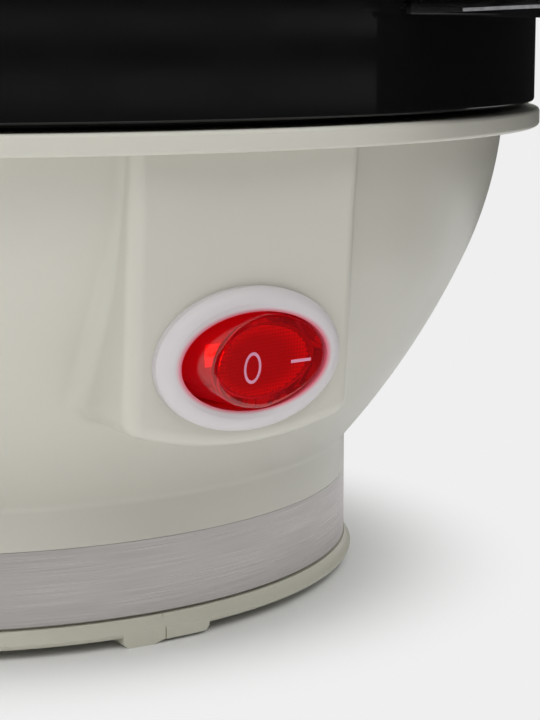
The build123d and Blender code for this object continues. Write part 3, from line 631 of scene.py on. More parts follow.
# The bezel's shade D46478 and its glow are painted red light of the lamp round the opening.
WHITE_BEZEL = BezelWithPaintedRedGlow("white_polycarbonate_moulded", "C9C4C6", 0.33, "D46478")
STEEL_STRIP = BrushedStainless("stainless_brushed", "BDB9B6", 0.3, "A5A19F")
BLACK_TRAY = MouldedPlastic("black_polypropylene_moulded", "0B0B0C", 0.07, "0E0E0F", ior=1.49, peel_depth_mm=0.0015)
BLACK_KNOB = MouldedPlastic("black_phenolic_moulded", "101010", 0.2, "151514", ior=1.6, peel_mm=0.8)
BROWN_PHENOLIC = MouldedPlastic("brown_phenolic_moulded", "4A3326", 0.5, "553C2E", ior=1.6, cloud_mm=4.0)
WHITE_NYLON = MouldedPlastic("white_nylon_moulded", "E2E0D8", 0.45, "D9D7CE", cloud_mm=6.0)
CLEAR_LID = ClearPolycarbonate("clear_polycarbonate_moulded", "FBFCFC", 0.02)
# Frosted rough edge of the clear lips; its opaque near-white colour is partly a painted highlight.
LIP_EDGE_AND_HIGHLIGHT = MouldedPlastic("clear_polycarbonate_rough_edge_and_painted_highlight", "F2F2F4", 0.35, "9A9AA2", peel_mm=0.6, peel_depth_mm=0.05,
                          cloud_mm=0.7)
# The cap's and the diffuser's glows are painted light of the lamp; only the neon lamp's glass gives light.
RED_CAP = LitRedPlastic("red_polycarbonate_clear", "F02A3C", 0.02, "D80820", 0.06, 1.0, gloss=0.3)
RED_DIFFUSER = DottedDiffuser("red_polycarbonate_diffuser", "A00814", 0.4, "F0101C", 0.5, 0.0)
LAMP_GLASS = LitRedPlastic("neon_lamp_glass", "F6B79C", 0.05, "FF5A28", 1.2, 0.6)
PLATE_STEEL = WorkedMetal("stainless_pressed", "C9C8C6", 0.27, "BDBCBA")
ZINC_STEEL = WorkedMetal("steel_zinc_plated", "C4C6C8", 0.32, "B4B6B5")
ELEMENT_SHEATH = WorkedMetal("aluminium_drawn", "AEB0B2", 0.42, "9C9EA0")
BRASS = WorkedMetal("brass_stamped", "D9B96C", 0.3, "C9A65A")
SILICONE = SoftRubber("silicone_cured", "D8D6D0", 0.6, "CFCDC6")
SOFT_VINYL = SoftRubber("soft_vinyl_moulded", "B5B3A8", 0.55, "AEACA1")
PRINT = MouldedPlastic("pad_print_ink", "D890AC", 0.45, "D48AA6", cloud_mm=0.8)


class Assembly:
    """Sub-assembly whose pieces are CAD nodes, some with finer meshes in their place."""

    def wear(self, finish: Material, *nodes: str) -> None:
        """Gives CAD nodes their material.

        Args:
            finish: Material that they are made of.
            *nodes: Names of the nodes.
        """
        for node in nodes:
            piece = frame["nodes"][node]
            piece.data.materials.clear()
            piece.data.materials.append(finish)
            log.info("%s wears %s", node, finish.name)

    def fit(self, piece: Object, body: Body, slot: str, finish: Material) -> Object:
        """Finishes a new piece and lets it ride on its body.

        Args:
            piece: Piece in its place in the row frame.
            body: Body that it moves with.
            slot: Material slot of the record; not used.
            finish: Material that it is made of.

        Returns:
            The piece.
        """
        piece.data.materials.append(finish)
        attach(piece, body.value)
        log.info("%s rides on %s", piece.name, body.value)
        return piece


@dataclass
class Housing(Assembly):
    """Bowl with its neck, switch pad and cord spout, finer than the CAD node that it stands for."""

    top_mm: tuple[float, float] = (80.6, 65.8)
    shoulder_mm: tuple[float, float] = (75.6, 47.3)
    upper_arc_mm: float = 58.0
    crease_mm: tuple[float, float] = (57.7, 19.6)
    crease_rounding_mm: float = 0.7
    band_top_mm: float = 14.0
    band_seat_mm: float = 57.25
    bottom_mm: float = 4.0
    wall_mm: float = 1.5
    arc_steps: tuple[int, int] = (24, 40)
    pad_half_width_mm: float = 15.8
    pad_bottom_mm: float = 11.1
    pad_sag_mm: float = 2.9
    pad_corner_mm: float = 2.4
    pad_rounding_mm: float = 1.9
    pad_fillet_mm: float = 2.6
    pad_side_steps: int = 18
    pad_side_end_mm: float = 4.0
    switch_hole_mm: tuple[float, float] = (11.55, 7.35)
    switch_window_mm: tuple[float, float, float] = (12.8, 32.0, 60.0)
    spout_place_mm: tuple[float, float, float] = (0.0, 70.178, 29.0)
    spout_radius_mm: float = 9.0
    spout_rounding_mm: float = 0.5
    spout_fillet_mm: float = 1.2
    spout_hole_mm: float = 5.05
    spout_window_mm: float = 6.5
    spout_steps: int = 96
    brow_share: float = 0.55
    foot_share: float = 0.42
    search_mm: float = 30.0

    def arcs(self) -> tuple[tuple[Vector, float], tuple[Vector, float]]:
        """Finds the bowl's two arcs, the lower of which meets the upper one smoothly.

        Returns:
            Centre and radius of the upper arc, and those of the lower one.
        """
        top, shoulder, crease = Vector(self.top_mm), Vector(self.shoulder_mm), Vector(self.crease_mm)
        along = (shoulder - top).normalized()
        half = (shoulder - top).length / 2
        upper = (top + shoulder) / 2 + Vector((along.y, -along.x)) * math.sqrt(self.upper_arc_mm ** 2 - half ** 2)
        inward = (upper - shoulder).normalized()
        reach = shoulder - crease
        radius = -reach.length_squared / (2 * inward.dot(reach))
        return (upper, self.upper_arc_mm), (shoulder + inward * radius, radius)

    def facing_arc(self, place: Vector) -> tuple[Vector, float]:
        """Finds the arc that a point of the bowl's section faces.

        Args:
            place: The point, as radius and height.

        Returns:
            Centre and radius of the arc.
        """
        upper, lower = self.arcs()
        shoulder = Vector(self.shoulder_mm)
        inward = (upper[0] - shoulder).normalized()
        return upper if (place - shoulder).dot(Vector((inward.y, -inward.x))) > 0 else lower

    def clearance(self, point: Vector) -> float:
        """Measures how far outside the bowl a point lies.

        Args:
            point: The point.

        Returns:
            Its distance, which is less than 0 inside the bowl.
        """
        place = Vector((math.hypot(point.x, point.y), point.z))
        centre, radius = self.facing_arc(place)
        return (place - centre).length - radius

    def lift(self, point: Vector) -> Vector:
        """Finds the direction in which the bowl's outside faces a point.

        Args:
            point: The point.

        Returns:
            The direction, of length 1.
        """
        place = Vector((math.hypot(point.x, point.y), point.z))
        centre, _ = self.facing_arc(place)
        outward, upward = (place - centre).normalized()
        return Vector((outward * point.x / place.x, outward * point.y / place.x, upward))

    def section(self, inset: float) -> list[Vector]:
        """Gives one side of the bowl's section, from its top down to its bottom.

        Args:
            inset: Distance inside the outer side.

        Returns:
            Points as radius and height.
        """
        points = []
        stops = (Vector(self.top_mm), Vector(self.shoulder_mm), Vector(self.crease_mm))
        for (centre, radius), start, end, steps in zip(self.arcs(), stops, stops[1:], self.arc_steps):
            first, last = start - centre, end - centre
            points += [centre + first.slerp(last, step / steps) * (radius - inset) for step in range(steps)]
        neck, seat = self.crease_mm[0] - inset, self.band_seat_mm - inset
        above, corner = points[-1], Vector((neck, self.crease_mm[1]))
        below = Vector((neck, self.crease_mm[1] - self.crease_rounding_mm))
        for share in (step / BEND_STEPS for step in range(BEND_STEPS + 1)):
            points.append(above * (1 - share) ** 2 + corner * 2 * share * (1 - share) + below * share ** 2)
        points += [Vector((neck, self.band_top_mm)), Vector((seat, self.band_top_mm))]
        return points + [Vector((seat, self.bottom_mm))]

    def pad_outline(self) -> list[Vector]:
        """Draws the pad's open outline from its top left round the bottom to its top right.

        Returns:
            Points in the pad's face.
        """
        side, low, count = self.pad_half_width_mm, self.pad_sag_mm - self.pad_bottom_mm, self.pad_side_steps
        top = (self.top_mm[1] - SWITCH_PLACE_MM.z) / math.cos(math.radians(SWITCH_LEAN))
        run = low + self.pad_side_end_mm - top
        left = [(-side, top + run * step / count, 0.0) for step in range(count + 1)]
        bow = []
        for step in range(-BEND_STEPS, BEND_STEPS + 1):
            across = step * (side - self.pad_corner_mm) / BEND_STEPS
            bow.append((across, -self.pad_bottom_mm + self.pad_sag_mm * (across / side) ** 2, 0.0))
        corners = left + [(-side, low, self.pad_corner_mm)] + bow + [(side, low, self.pad_corner_mm)]
        return rounded(corners + [(-x, y, 0.0) for x, y, _ in reversed(left)])

    def raised(self, frame_of: Matrix, outline: list[Vector], closed: bool, rounding: float, fillet: float,
               hole: tuple[float, float]) -> tuple[Skin, Skin]:
        """Raises a boss from the bowl: a flat face, a rounded brow, straight walls and a fillet at their foot.

        Args:
            frame_of: Axes of the boss, with its face at height 0 and Z outward.
            outline: Outline of the boss in its face.
            closed: Whether the outline runs all round; otherwise it ends under the rim.
            rounding: Radius of the brow.
            fillet: Radius at the foot.
            hole: Half axes of the oval hole in the face.

        Returns:
            The skin of the walls and that of the face.
        """
        turn = frame_of.to_3x3()
        inward = -(turn @ Vector((0.0, 0.0, 1.0)))
        last = len(outline) - 1
        columns = []
        for index, spot in enumerate(outline):
            after = outline[(index + 1) % len(outline)] if closed else outline[min(index + 1, last)]
            before = outline[index - 1] if closed else outline[max(index - 1, 0)]
            along = (after - before).normalized()
            side = turn @ Vector((along.y, -along.x, 0.0))
            if (turn @ Vector((spot.x, spot.y, 0.0))).dot(side) < 0:
                side = -side
            edge = frame_of @ Vector((spot.x, spot.y, 0.0))
            depth = root(lambda t: self.clearance(edge + inward * t), 0.0, self.search_mm)
            brow, foot = min(rounding, self.brow_share * depth), min(fillet, self.foot_share * depth)
            sink = root(lambda t: self.clearance(edge + side * foot + inward * t) - foot, 0.0, self.search_mm)
            column = []
            for step in range(BEND_STEPS + 1):
                bend = step / BEND_STEPS * math.pi / 2
                column.append(edge - side * brow * (1 - math.sin(bend)) + inward * brow * (1 - math.cos(bend)))
            centre = edge + side * foot + inward * sink
            end = -self.lift(centre)
            column += [centre + (-side).slerp(end, step / 10) * foot for step in range(11)]
            columns.append([Vector((point.x, point.y, min(point.z, self.top_mm[1]))) for point in column])
        rows = [[column[row] for column in columns] for row in range(len(columns[0]))]
        brim = list(rows[0])
        if not closed:
            brim += [rows[0][-1].lerp(rows[0][0], step / 24) for step in range(1, 24)]
        inner = []
        for point in brim:
            local = frame_of.inverted() @ point
            way = math.atan2(local.y, local.x)
            size = 1 / math.hypot(math.cos(way) / hole[0], math.sin(way) / hole[1])
            inner.append(frame_of @ Vector((size * math.cos(way), size * math.sin(way), local.z)))
        return loft(rows, closed), loft([brim, inner])

    def build(self) -> None:
        """Makes the housing and puts it in place of its node."""
        pad_axes = Matrix.Translation(SWITCH_PLACE_MM) @ Matrix.Rotation(math.radians(SWITCH_PITCH), 4, "X")
        pad = self.raised(pad_axes, self.pad_outline(), False, self.pad_rounding_mm, self.pad_fillet_mm,
                          self.switch_hole_mm)
        ring = [Vector((math.cos(turn), math.sin(turn))) * self.spout_radius_mm for turn in turns(self.spout_steps)]
        spout_axes = Matrix.Translation(self.spout_place_mm) @ Matrix.Rotation(math.radians(-90), 4, "X")
        spout = self.raised(spout_axes, ring, True, self.spout_rounding_mm, self.spout_fillet_mm,
                            (self.spout_hole_mm, self.spout_hole_mm))
        bowl = mesh_piece("bowl_body", turned(self.section(0.0) + self.section(self.wall_mm)[::-1]))
        half_width, low, high = self.switch_window_mm
        remove_faces(bowl, lambda p: abs(p.x) < half_width and p.y < 0 and low < p.z < high)
        remove_faces(bowl, lambda p: p.y > 0 and math.hypot(p.x, p.z - self.spout_place_mm[2]) < self.spout_window_mm)
        cream = CREAM_ABS.material()
        for piece in (bowl, mesh_piece("switch_pad", *pad), mesh_piece("cord_spout", *spout)):
            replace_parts(self.fit(piece, Body.BASE, "cream_abs", cream), "base_housing")


@dataclass
class BasinLiner(Assembly):
    """Rim, ledge and basin with the three bosses under it."""

    rim_mm: float = 86.0
    rim_top_mm: float = 68.4
    rim_bottom_mm: float = 65.8
    rim_rounding_mm: float = 0.55
    lap_mm: float = 79.0
    wall_mm: float = 77.6
    ledge_mm: float = 73.5
    ledge_top_mm: float = 64.0
    thickness_mm: float = 2.2
    seat_mm: float = 53.35
    seat_hole_mm: float = 48.85
    seat_top_mm: float = 47.0
    boss_circle_mm: float = 50.65
    boss_mm: float = 3.2
    bore_mm: float = 1.55
    boss_bottom_mm: float = 8.0
    boss_angles: tuple[float, ...] = (90.0, 210.0, 330.0)
    edge_mm: float = 0.3
    fold_mm: float = 0.6
    overlap_mm: float = 0.1

    def build(self) -> None:
        """Turns the liner and its bosses, and puts them in place of the node."""
        under = self.ledge_top_mm - self.thickness_mm
        seat_under = self.seat_top_mm - self.thickness_mm
        soft, edge, fold = self.rim_rounding_mm, self.edge_mm, self.fold_mm
        liner = turned(rounded([
            (self.seat_hole_mm, seat_under, edge), (self.seat_mm, seat_under, 0.0), (self.ledge_mm, under, 0.0),
            (self.lap_mm, under, 0.0), (self.lap_mm, self.rim_bottom_mm, 0.0),
            (self.rim_mm, self.rim_bottom_mm, soft), (self.rim_mm, self.rim_top_mm, soft),
            (self.wall_mm, self.rim_top_mm, 0.5), (self.wall_mm, self.ledge_top_mm, 0.4),
            (self.ledge_mm, self.ledge_top_mm, fold), (self.seat_mm, self.seat_top_mm, fold),
            (self.seat_hole_mm, self.seat_top_mm, edge),
        ]), segments=480)
        boss_top = seat_under + self.overlap_mm
        boss = rounded([(self.bore_mm, self.boss_bottom_mm, edge), (self.boss_mm, self.boss_bottom_mm, edge),
                        (self.boss_mm, boss_top, 0.0), (self.bore_mm, boss_top, 0.0)])
        bosses = [turned(boss, 48, place) for place in around(self.boss_circle_mm, self.boss_angles)]
        piece = mesh_piece("rim_and_basin", liner, *bosses)
        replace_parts(self.fit(piece, Body.BASE, "cream_abs", CREAM_ABS.material()), "basin_liner")


class Base(Assembly):
    """Housing, liner, bottom cover, brushed strip, cord bushing and the seal under the heating plate."""

    def build(self) -> None:
        """Builds the housing and the liner, and dresses the rest of the base."""
        Housing().build()
        BasinLiner().build()
        self.wear(CREAM_COVER.material(), "bottom_cover")
        self.wear(STEEL_STRIP.material(), "trim_band")
        self.wear(SOFT_VINYL.material(), "cord_bushing")
        self.wear(SILICONE.material(), "plate_seal")


class HeatingUnit(Assembly):
    """Plate, element, thermostat and fuse, with their fixings, the cover's screws and the terminal block."""

    def build(self) -> None:
        """Dresses the heating parts."""
        self.wear(PLATE_STEEL.material(), "heating_plate")
        self.wear(ELEMENT_SHEATH.material(), "heater_element")
        self.wear(ZINC_STEEL.material(), "cover_screws", "plate_clips", "clip_nuts", "thermostat_strap",
                  "fuse_strap", "block_screw", "thermal_fuse")
        self.wear(BROWN_PHENOLIC.material(), "thermostat")
        self.wear(WHITE_NYLON.material(), "terminal_block")


@dataclass
class RockerSwitch(Assembly):
    """Lit oval rocker switch with its bezel, contacts and printed marks."""

    tilt: float = 11.0
    face_mm: float = 6.7
    skirt_mm: float = 3.2
    wall_mm: float = 1.1
    dish_mm: float = 0.8
    half_length_mm: float = 9.95
    half_height_mm: float = 5.75
    rounding_mm: float = 0.35
    mark_height_mm: float = -0.5
    circle_place_mm: float = -2.3
    circle_half_width_mm: float = 1.45
    circle_half_height_mm: float = 1.9
    stroke_mm: float = 0.38
    dash_place_mm: float = 5.45
    dash_length_mm: float = 3.0
    print_lift_mm: float = 0.015
    inner_rounding_mm: float = 0.15
    pin_mm: float = 1.2
    pin_reach_mm: float = 0.95
    segments: int = 96
    quarters: tuple[float, ...] = (0.25, 0.5, 0.75, 1.0)
    face_shares: tuple[float, ...] = (0.9, 0.75, 0.6, 0.45, 0.3, 0.15, 0.02)

    def place(self) -> Matrix:
        """Places the rocker at rest.

        Returns:
            Matrix from the rocker's own axes, in millimetres, to the row frame.
        """
        joint = next(joint for joint in frame["joints"] if joint["name"] == "rocker_tilt")
        up = -Vector(joint["axis"]).normalized()
        across = Vector((1.0, 0.0, 0.0))
        normal = across.cross(up)
        axes = Matrix((across, up, normal)).transposed().to_4x4()
        tilted = Matrix.Rotation(math.radians(self.tilt), 4, "Y")
        return Matrix.Translation(Vector(joint["pos_m"]) / MM) @ axes @ tilted

    def outline(self, turn: float, height: float, inset: float) -> tuple[float, float]:
        """Gives a point on the rocker's outline, the overlap of two ovals tilted either way.

        Args:
            turn: Angle round the rocker.
            height: Height above its axis.
            inset: Distance inside the outer wall.

        Returns:
            The point's place along and across the rocker.
        """
        tilt = math.radians(self.tilt)
        length = self.half_length_mm - inset
        start = math.acos(min(1.0, abs(height) * math.sin(tilt) / length))
        share = 2 * start / math.pi
        side = 1 if math.cos(turn) >= 0 else -1
        swing = math.asin(math.sin(turn)) * share
        along = max(0.0, (length * math.cos(swing) - abs(height) * math.sin(tilt)) / math.cos(tilt))
        return side * along, (self.half_height_mm - inset) * math.sin(swing)

    def dish(self, along: float, top: float) -> float:
        """Gives the height of the hollowed face.

        Args:
            along: Place along the rocker.
            top: Height of the face's two ends.

        Returns:
            Height of the face there.
        """
        half = self.half_length_mm - self.face_mm * math.tan(math.radians(self.tilt))
        return top - self.dish_mm * (1 - (along / half) ** 2)

    def skin(self, inset: float, top: float, rounding: float) -> list[list[Vector]]:
        """Makes the rings of one skin of the rocker, from its lower edge over its rounded brow to the middle.

        Args:
            inset: Distance inside the outer wall.
            top: Height of the face's two ends.
            rounding: Radius of the brow.

        Returns:
            Rings of points, in millimetres.
        """
        ways = turns(self.segments, 0.5)
        brow = [self.dish(self.outline(way, top, inset)[0], top) for way in ways]
        levels = [[(-self.skirt_mm + share * (edge - rounding + self.skirt_mm), 0.0) for edge in brow]
                  for share in (0.0, *self.quarters)]
        for bend in (share * math.pi / 2 for share in self.quarters):
            drop, back = rounding * (1 - math.sin(bend)), rounding * (1 - math.cos(bend))
            levels.append([(edge - drop, back) for edge in brow])
        rings = [[Vector((*self.outline(way, height, inset + back), height))
                  for way, (height, back) in zip(ways, level)] for level in levels]
        edge = rings[-1]
        for share in self.face_shares:
            rings.append([Vector((spot.x * share, spot.y * share, self.dish(spot.x * share, top))) for spot in edge])
        return rings

    def cap(self) -> Object:
        """Makes the clear red cap with its rounded brow, open below.

        Returns:
            The cap with its two pins.
        """
        outer = self.skin(0.0, self.face_mm, self.rounding_mm)
        inner = self.skin(self.wall_mm, self.face_mm - self.wall_mm, self.inner_rounding_mm)
        place = self.place()
        rings = [[place @ point for point in ring] for ring in outer[::-1] + inner]
        skins = [loft(rings), sheet(rings[0]), sheet(rings[-1])]
        for side in (-1, 1):
            foot = side * (self.half_height_mm - self.wall_mm)
            pin = [[place @ Vector((self.pin_mm * math.cos(way), height, self.pin_mm * math.sin(way)))
                    for way in turns(32)] for height in (foot, foot + side * (self.wall_mm + self.pin_reach_mm))]
            skins += [loft(pin), sheet(pin[0]), sheet(pin[1])]
        return mesh_piece("rocker_cap_skin", *skins)

    def on_face(self, name: str, *lines: list[tuple[float, float]]) -> Object:
        """Prints a band between two closed lines on the rocker's face.

        Args:
            name: Name of the piece.
            *lines: Points of the outer line, along and across the face, and those of the inner one.

        Returns:
            The printed band.
        """
        place = self.place()
        return mesh_piece(name, loft([[
            place @ Vector((x, y, self.dish(x, self.face_mm) + self.print_lift_mm)) for x, y in line
        ] for line in lines]))

    def marks(self, ink: Material) -> None:
        """Prints the circle and the dash.

        Args:
            ink: Material of the print.
        """
        rings = []
        for inset in (0.0, self.stroke_mm):
            half_width, half_height = self.circle_half_width_mm - inset, self.circle_half_height_mm - inset
            rings.append([(self.circle_place_mm + half_width * math.cos(way),
                           self.mark_height_mm + half_height * math.sin(way)) for way in turns(64)])
        along = [self.dash_place_mm + self.dash_length_mm / 2 * (step / 4 - 1) for step in range(9)]
        low, high = ([(x, self.mark_height_mm + side * self.stroke_mm / 2) for x in along] for side in (-1, 1))
        dash = low + high[::-1]
        middle = [(x, self.mark_height_mm) for x, _ in dash]
        for name, lines in (("mark_off", rings), ("mark_on", (dash, middle))):
            self.fit(self.on_face(name, *lines), Body.ROCKER, "red_rocker", ink)

    def build(self) -> None:
        """Dresses the switch and puts the finer cap and its marks in place."""
        self.wear(WHITE_BEZEL.material(), "switch_housing")
        self.wear(RED_DIFFUSER.material(), "rocker_diffuser")
        self.wear(WHITE_NYLON.material(), "rocker_carrier")
        self.wear(LAMP_GLASS.material(), "neon_lamp")
        self.wear(BRASS.material(), "contact_lever", "switch_terminals")
        red = RED_CAP.material()
        self.wear(red, "rocker_cap")
        cap = self.fit(self.cap(), Body.ROCKER, "red_rocker", red)
        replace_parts(cap, "rocker_cap")
        self.marks(PRINT.material())


@dataclass
class EggTray(Assembly):
    """Black tray whose wall stands on the rim, with seven collared egg holes and two ears."""

    wall_mm: float = 85.2
    thickness_mm: float = 2.0
    top_mm: float = 84.0
    bottom_mm: float = 69.3
    rounding_mm: float = 0.5
    skirt_mm: float = 77.3
    skirt_bottom_mm: float = 64.0
    egg_hole_mm: float = 17.5
    egg_circle_mm: float = 47.0
    chamfer_mm: float = 1.3
    collar_wall_mm: float = 1.6
    collar_depth_mm: float = 3.0
    steam_hole_mm: float = 2.2
    steam_circle_mm: float = 65.0
    ear_half_width_mm: float = 27.0
    ear_reach_mm: float = 100.0
    ear_corner_mm: float = 8.0
    ear_bottom_mm: float = 81.4
    ear_top_mm: float = 83.4
    ear_slope_mm: float = 0.5
    ear_levels: tuple[tuple[float, float], ...] = ((1.0, 0.0), (0.3, 0.15), (0.0, 0.5), (0.0, 0.85), (0.3, 0.95),
                                                   (1.0, 1.0))
    edge_mm: float = 0.3
    overlap_mm: float = 0.05

    def ring(self) -> Skin:
        """Turns the wall with its skirt.

        Returns:
            The skin.
        """
        inner, floor_top = self.wall_mm - self.thickness_mm, self.bottom_mm + self.thickness_mm
        skirt_inner, soft = self.skirt_mm - self.thickness_mm, self.edge_mm
        return turned(rounded([
            (skirt_inner, floor_top, 0.0), (skirt_inner, self.skirt_bottom_mm, soft),
            (self.skirt_mm, self.skirt_bottom_mm, soft), (self.skirt_mm, self.bottom_mm, 0.0),
            (self.wall_mm, self.bottom_mm, self.rounding_mm), (self.wall_mm, self.top_mm, soft),
            (inner, self.top_mm, soft), (inner, floor_top, soft),
        ]), segments=480)

    def floor(self) -> list[Skin]:
        """Makes the floor with its chamfered egg holes, collars and steam holes.

        Returns:
            Skins of the holes, and those of the floor's two sides.
        """
        hole, outer = self.egg_hole_mm, self.egg_hole_mm + self.collar_wall_mm
        top, bottom, foot = self.bottom_mm + self.thickness_mm, self.bottom_mm, self.bottom_mm - self.collar_depth_mm
        egg = ((hole + self.chamfer_mm, top), (hole, top - self.chamfer_mm), (hole, foot), (outer, foot),
               (outer, bottom))
        vent = ((self.steam_hole_mm, top), (self.steam_hole_mm, bottom))
        eggs = [Vector()] + around(self.egg_circle_mm, (30.0 + 60 * step for step in range(6)))
        vents = around(self.steam_circle_mm, (60.0 * step for step in range(6)))
        tubes = [[circle(place, radius, height) for radius, height in levels]
                 for places, levels in ((eggs, egg), (vents, vent)) for place in places]
        rim = self.skirt_mm - self.thickness_mm + self.overlap_mm
        sides = [pierced([circle(Vector(), rim, height, 240)] + [tube[end] for tube in tubes])
                 for end, height in ((0, top), (-1, bottom))]
        return [loft(tube) for tube in tubes] + sides

    def ear(self, angle: float) -> list[Skin]:
        """Makes one ear, from inside the wall to its rounded end.

        Args:
            angle: Where it points, in degrees from -Y towards +X.

        Returns:
            Its skins.
        """
        half, reach, corner = self.ear_half_width_mm, self.ear_reach_mm, self.ear_corner_mm
        inner = self.wall_mm - self.thickness_mm / 2
        bends = [math.asin(half / inner) * step / 10 for step in range(10, -11, -1)]
        inside = [(inner * math.sin(bend), -inner * math.cos(bend), 0.0) for bend in bends]
        plan = rounded(inside + [(-half, -reach, corner), (half, -reach, corner)], steps=12)
        turn = Matrix.Rotation(math.radians(angle), 4, "Z")
        levels = []
        for share, height in self.ear_levels:
            inset = self.edge_mm * share
            ring = []
            for x, y in plan:
                sink = self.ear_slope_mm * max(0.0, -y - self.wall_mm) / (reach - self.wall_mm)
                low = self.ear_bottom_mm - sink
                pull = 1 - inset / math.hypot(x, reach * 0.5) if y < -self.wall_mm else 1.0
                ring.append(turn @ Vector((x * pull, y + (inset if y < -reach + corner else 0.0),
                                           low + (self.ear_top_mm - low) * height)))
            levels.append(ring)
        return [loft(levels), sheet(levels[0]), sheet(levels[-1])]

    def build(self) -> None:
        """Makes the tray and puts it in place of its node."""
        skins = [self.ring()] + self.floor()
        for angle in EAR_ANGLES:
            skins += self.ear(angle)
        tray = self.fit(mesh_piece("tray_body", *skins), Body.TRAY, "black_pp", BLACK_TRAY.material())
        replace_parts(tray, "egg_tray")


@dataclass
class Lid(Assembly):
    """Clear dome with its knob, and the rough edge under each ear's lip, bright from frosting and a painted
    highlight.
    """

    half_width_mm: float = 27.85
    reach_mm: float = 100.85
    corner_mm: float = 8.55
    half_edge_mm: float = 0.53
    start_mm: float = 88.0
    bottom_start_mm: float = 81.6
    rise_mm: float = 0.7
    rise_run_mm: tuple[float, float] = (85.2, 101.4)
    edge_height_mm: float = 0.4
    cover_mm: float = 0.02

    def lip_edge(self, angle: float) -> Skin:
        """Makes the rough lower edge of one ear's lip, just inside the clear skin.

        Args:
            angle: Where the ear points, in degrees from -Y towards +X.

        Returns:
            The skin.
        """
        turn = Matrix.Rotation(math.radians(angle), 4, "Z")
        loops = []
        for side in (-1, 1):
            half, reach, corner = (size + side * self.half_edge_mm
                                   for size in (self.half_width_mm, self.reach_mm, self.corner_mm))
            loops.append(rounded([(-half, -self.start_mm, 0.0), (-half, -reach, corner), (half, -reach, corner),
                                  (half, -self.start_mm, 0.0)], steps=16))
        inner, outer = loops
        near, far = self.rise_run_mm
        rings = []
        for row, loop in ((0, inner), (0, outer), (1, outer), (1, inner)):
            ring = []
            for x, y in loop:
                low = self.bottom_start_mm + self.rise_mm * (-y - near) / (far - near)
                ring.append(turn @ Vector((x, y, low + self.cover_mm + self.edge_height_mm * row)))
            rings.append(ring)
        return loft(rings, closed=False, joined=True)

    def build(self) -> None:
        """Dresses the dome, the knob and its screw, and lines the lips."""
        # The lips' rough edges are frosted, and their near-white colour is partly a painted highlight.
        edges = mesh_piece("lip_edges_and_painted_highlight", *(self.lip_edge(angle) for angle in EAR_ANGLES))
        self.fit(edges, Body.LID, "clear_polycarbonate", LIP_EDGE_AND_HIGHLIGHT.material())
        self.wear(CLEAR_LID.material(), "lid_dome")
        self.wear(BLACK_KNOB.material(), "lid_knob")
        self.wear(ZINC_STEEL.material(), "knob_washer", "knob_screw")


@dataclass(frozen=True)
class Card:
    """Studio card bent round the part, which only gloss sees, also the gloss behind the clear lid."""

    name: str
    angles: tuple[float, float]
    radii_m: tuple[float, float]
    heights_m: tuple[float, float]
    tones: tuple[tuple[float, float], ...]

    def material(self) -> Material:
        """Builds the card's plain glow, whose tone changes with the height.

        Returns:
            The material, which is clear to what is seen straight through the lid.
        """
        material = bpy.data.materials.new(self.name)
        material.use_nodes = True
        tree = material.node_tree
        tree.nodes.clear()
        place = add_node(tree, "TexCoord")
        axes = add_node(tree, "SeparateXYZ", {0: place.outputs["Object"]})
        low, high = self.heights_m
        share = add_node(tree, "MapRange", {"Value": axes.outputs["Z"], "From Min": low, "From Max": high})
        ramp = add_node(tree, "ValToRGB", {"Fac": share.outputs["Result"]})
        stops = ramp.color_ramp.elements
        stops.remove(stops[1])
        for where, tone in self.tones:
            stop = stops.new(where) if where > 0 else stops[0]
            stop.color = (tone, tone, tone, 1.0)
        glow = add_node(tree, "Emission", {"Color": ramp.outputs["Color"], "Strength": 1.0})
        path = add_node(tree, "LightPath")
        direct = add_node(tree, "Math", {0: path.outputs["Glossy Depth"], 1: 0.5}, operation="LESS_THAN")
        through = add_node(tree, "Math", {0: direct.outputs[0], 1: path.outputs["Is Transmission Ray"]},
                           operation="MULTIPLY")
        clear = add_node(tree, "BsdfTransparent")
        mix = add_node(tree, "MixShader", {0: through.outputs[0], 1: glow.outputs[0], 2: clear.outputs[0]})
        add_node(tree, "OutputMaterial", {"Surface": mix.outputs[0]})
        return material

    def stand(self) -> None:
        """Stands the card in the studio."""
        first, last = self.angles
        steps = max(2, round(last - first))
        angles = [first + (last - first) * step / steps for step in range(steps + 1)]
        low, high = ([spot + Vector((0.0, 0.0, height / MM)) for spot in around(radius / MM, angles)]
                     for radius, height in zip(self.radii_m, self.heights_m))
        card = mesh_piece(self.name, loft([low, high], closed=False))
        card.data.materials.append(self.material())
        card.visible_camera = card.visible_diffuse = card.visible_shadow = False


CARDS = (
    Card("card_dark_room", (-75.0, 58.0), (0.5, 0.5), (0.0, 0.5), (
        (0.0, 0.01), (0.098, 0.01), (0.108, 0.15), (0.125, 0.15), (0.135, 0.01), (0.15, 0.01), (0.156, 0.18),
        (0.166, 0.18), (0.172, 0.01), (0.5, 0.01), (1.0, 0.0))),
    Card("card_dark_side", (46.0, 165.0), (0.3, 0.3), (0.0, 0.3), ((0.0, 0.01),)),
    Card("card_dark_cloth", (80.0, 160.0), (0.066, 0.087), (0.0, 0.05), ((0.0, 0.05),)),
    Card("card_dark_mat", (-60.0, 75.0), (0.15, 0.5), (0.0005, 0.001), ((0.0, 0.06),)),
    Card("card_soft_top", (-180.0, 180.0), (0.02, 0.13), (0.9, 0.901), ((0.0, 2.2),)),
)


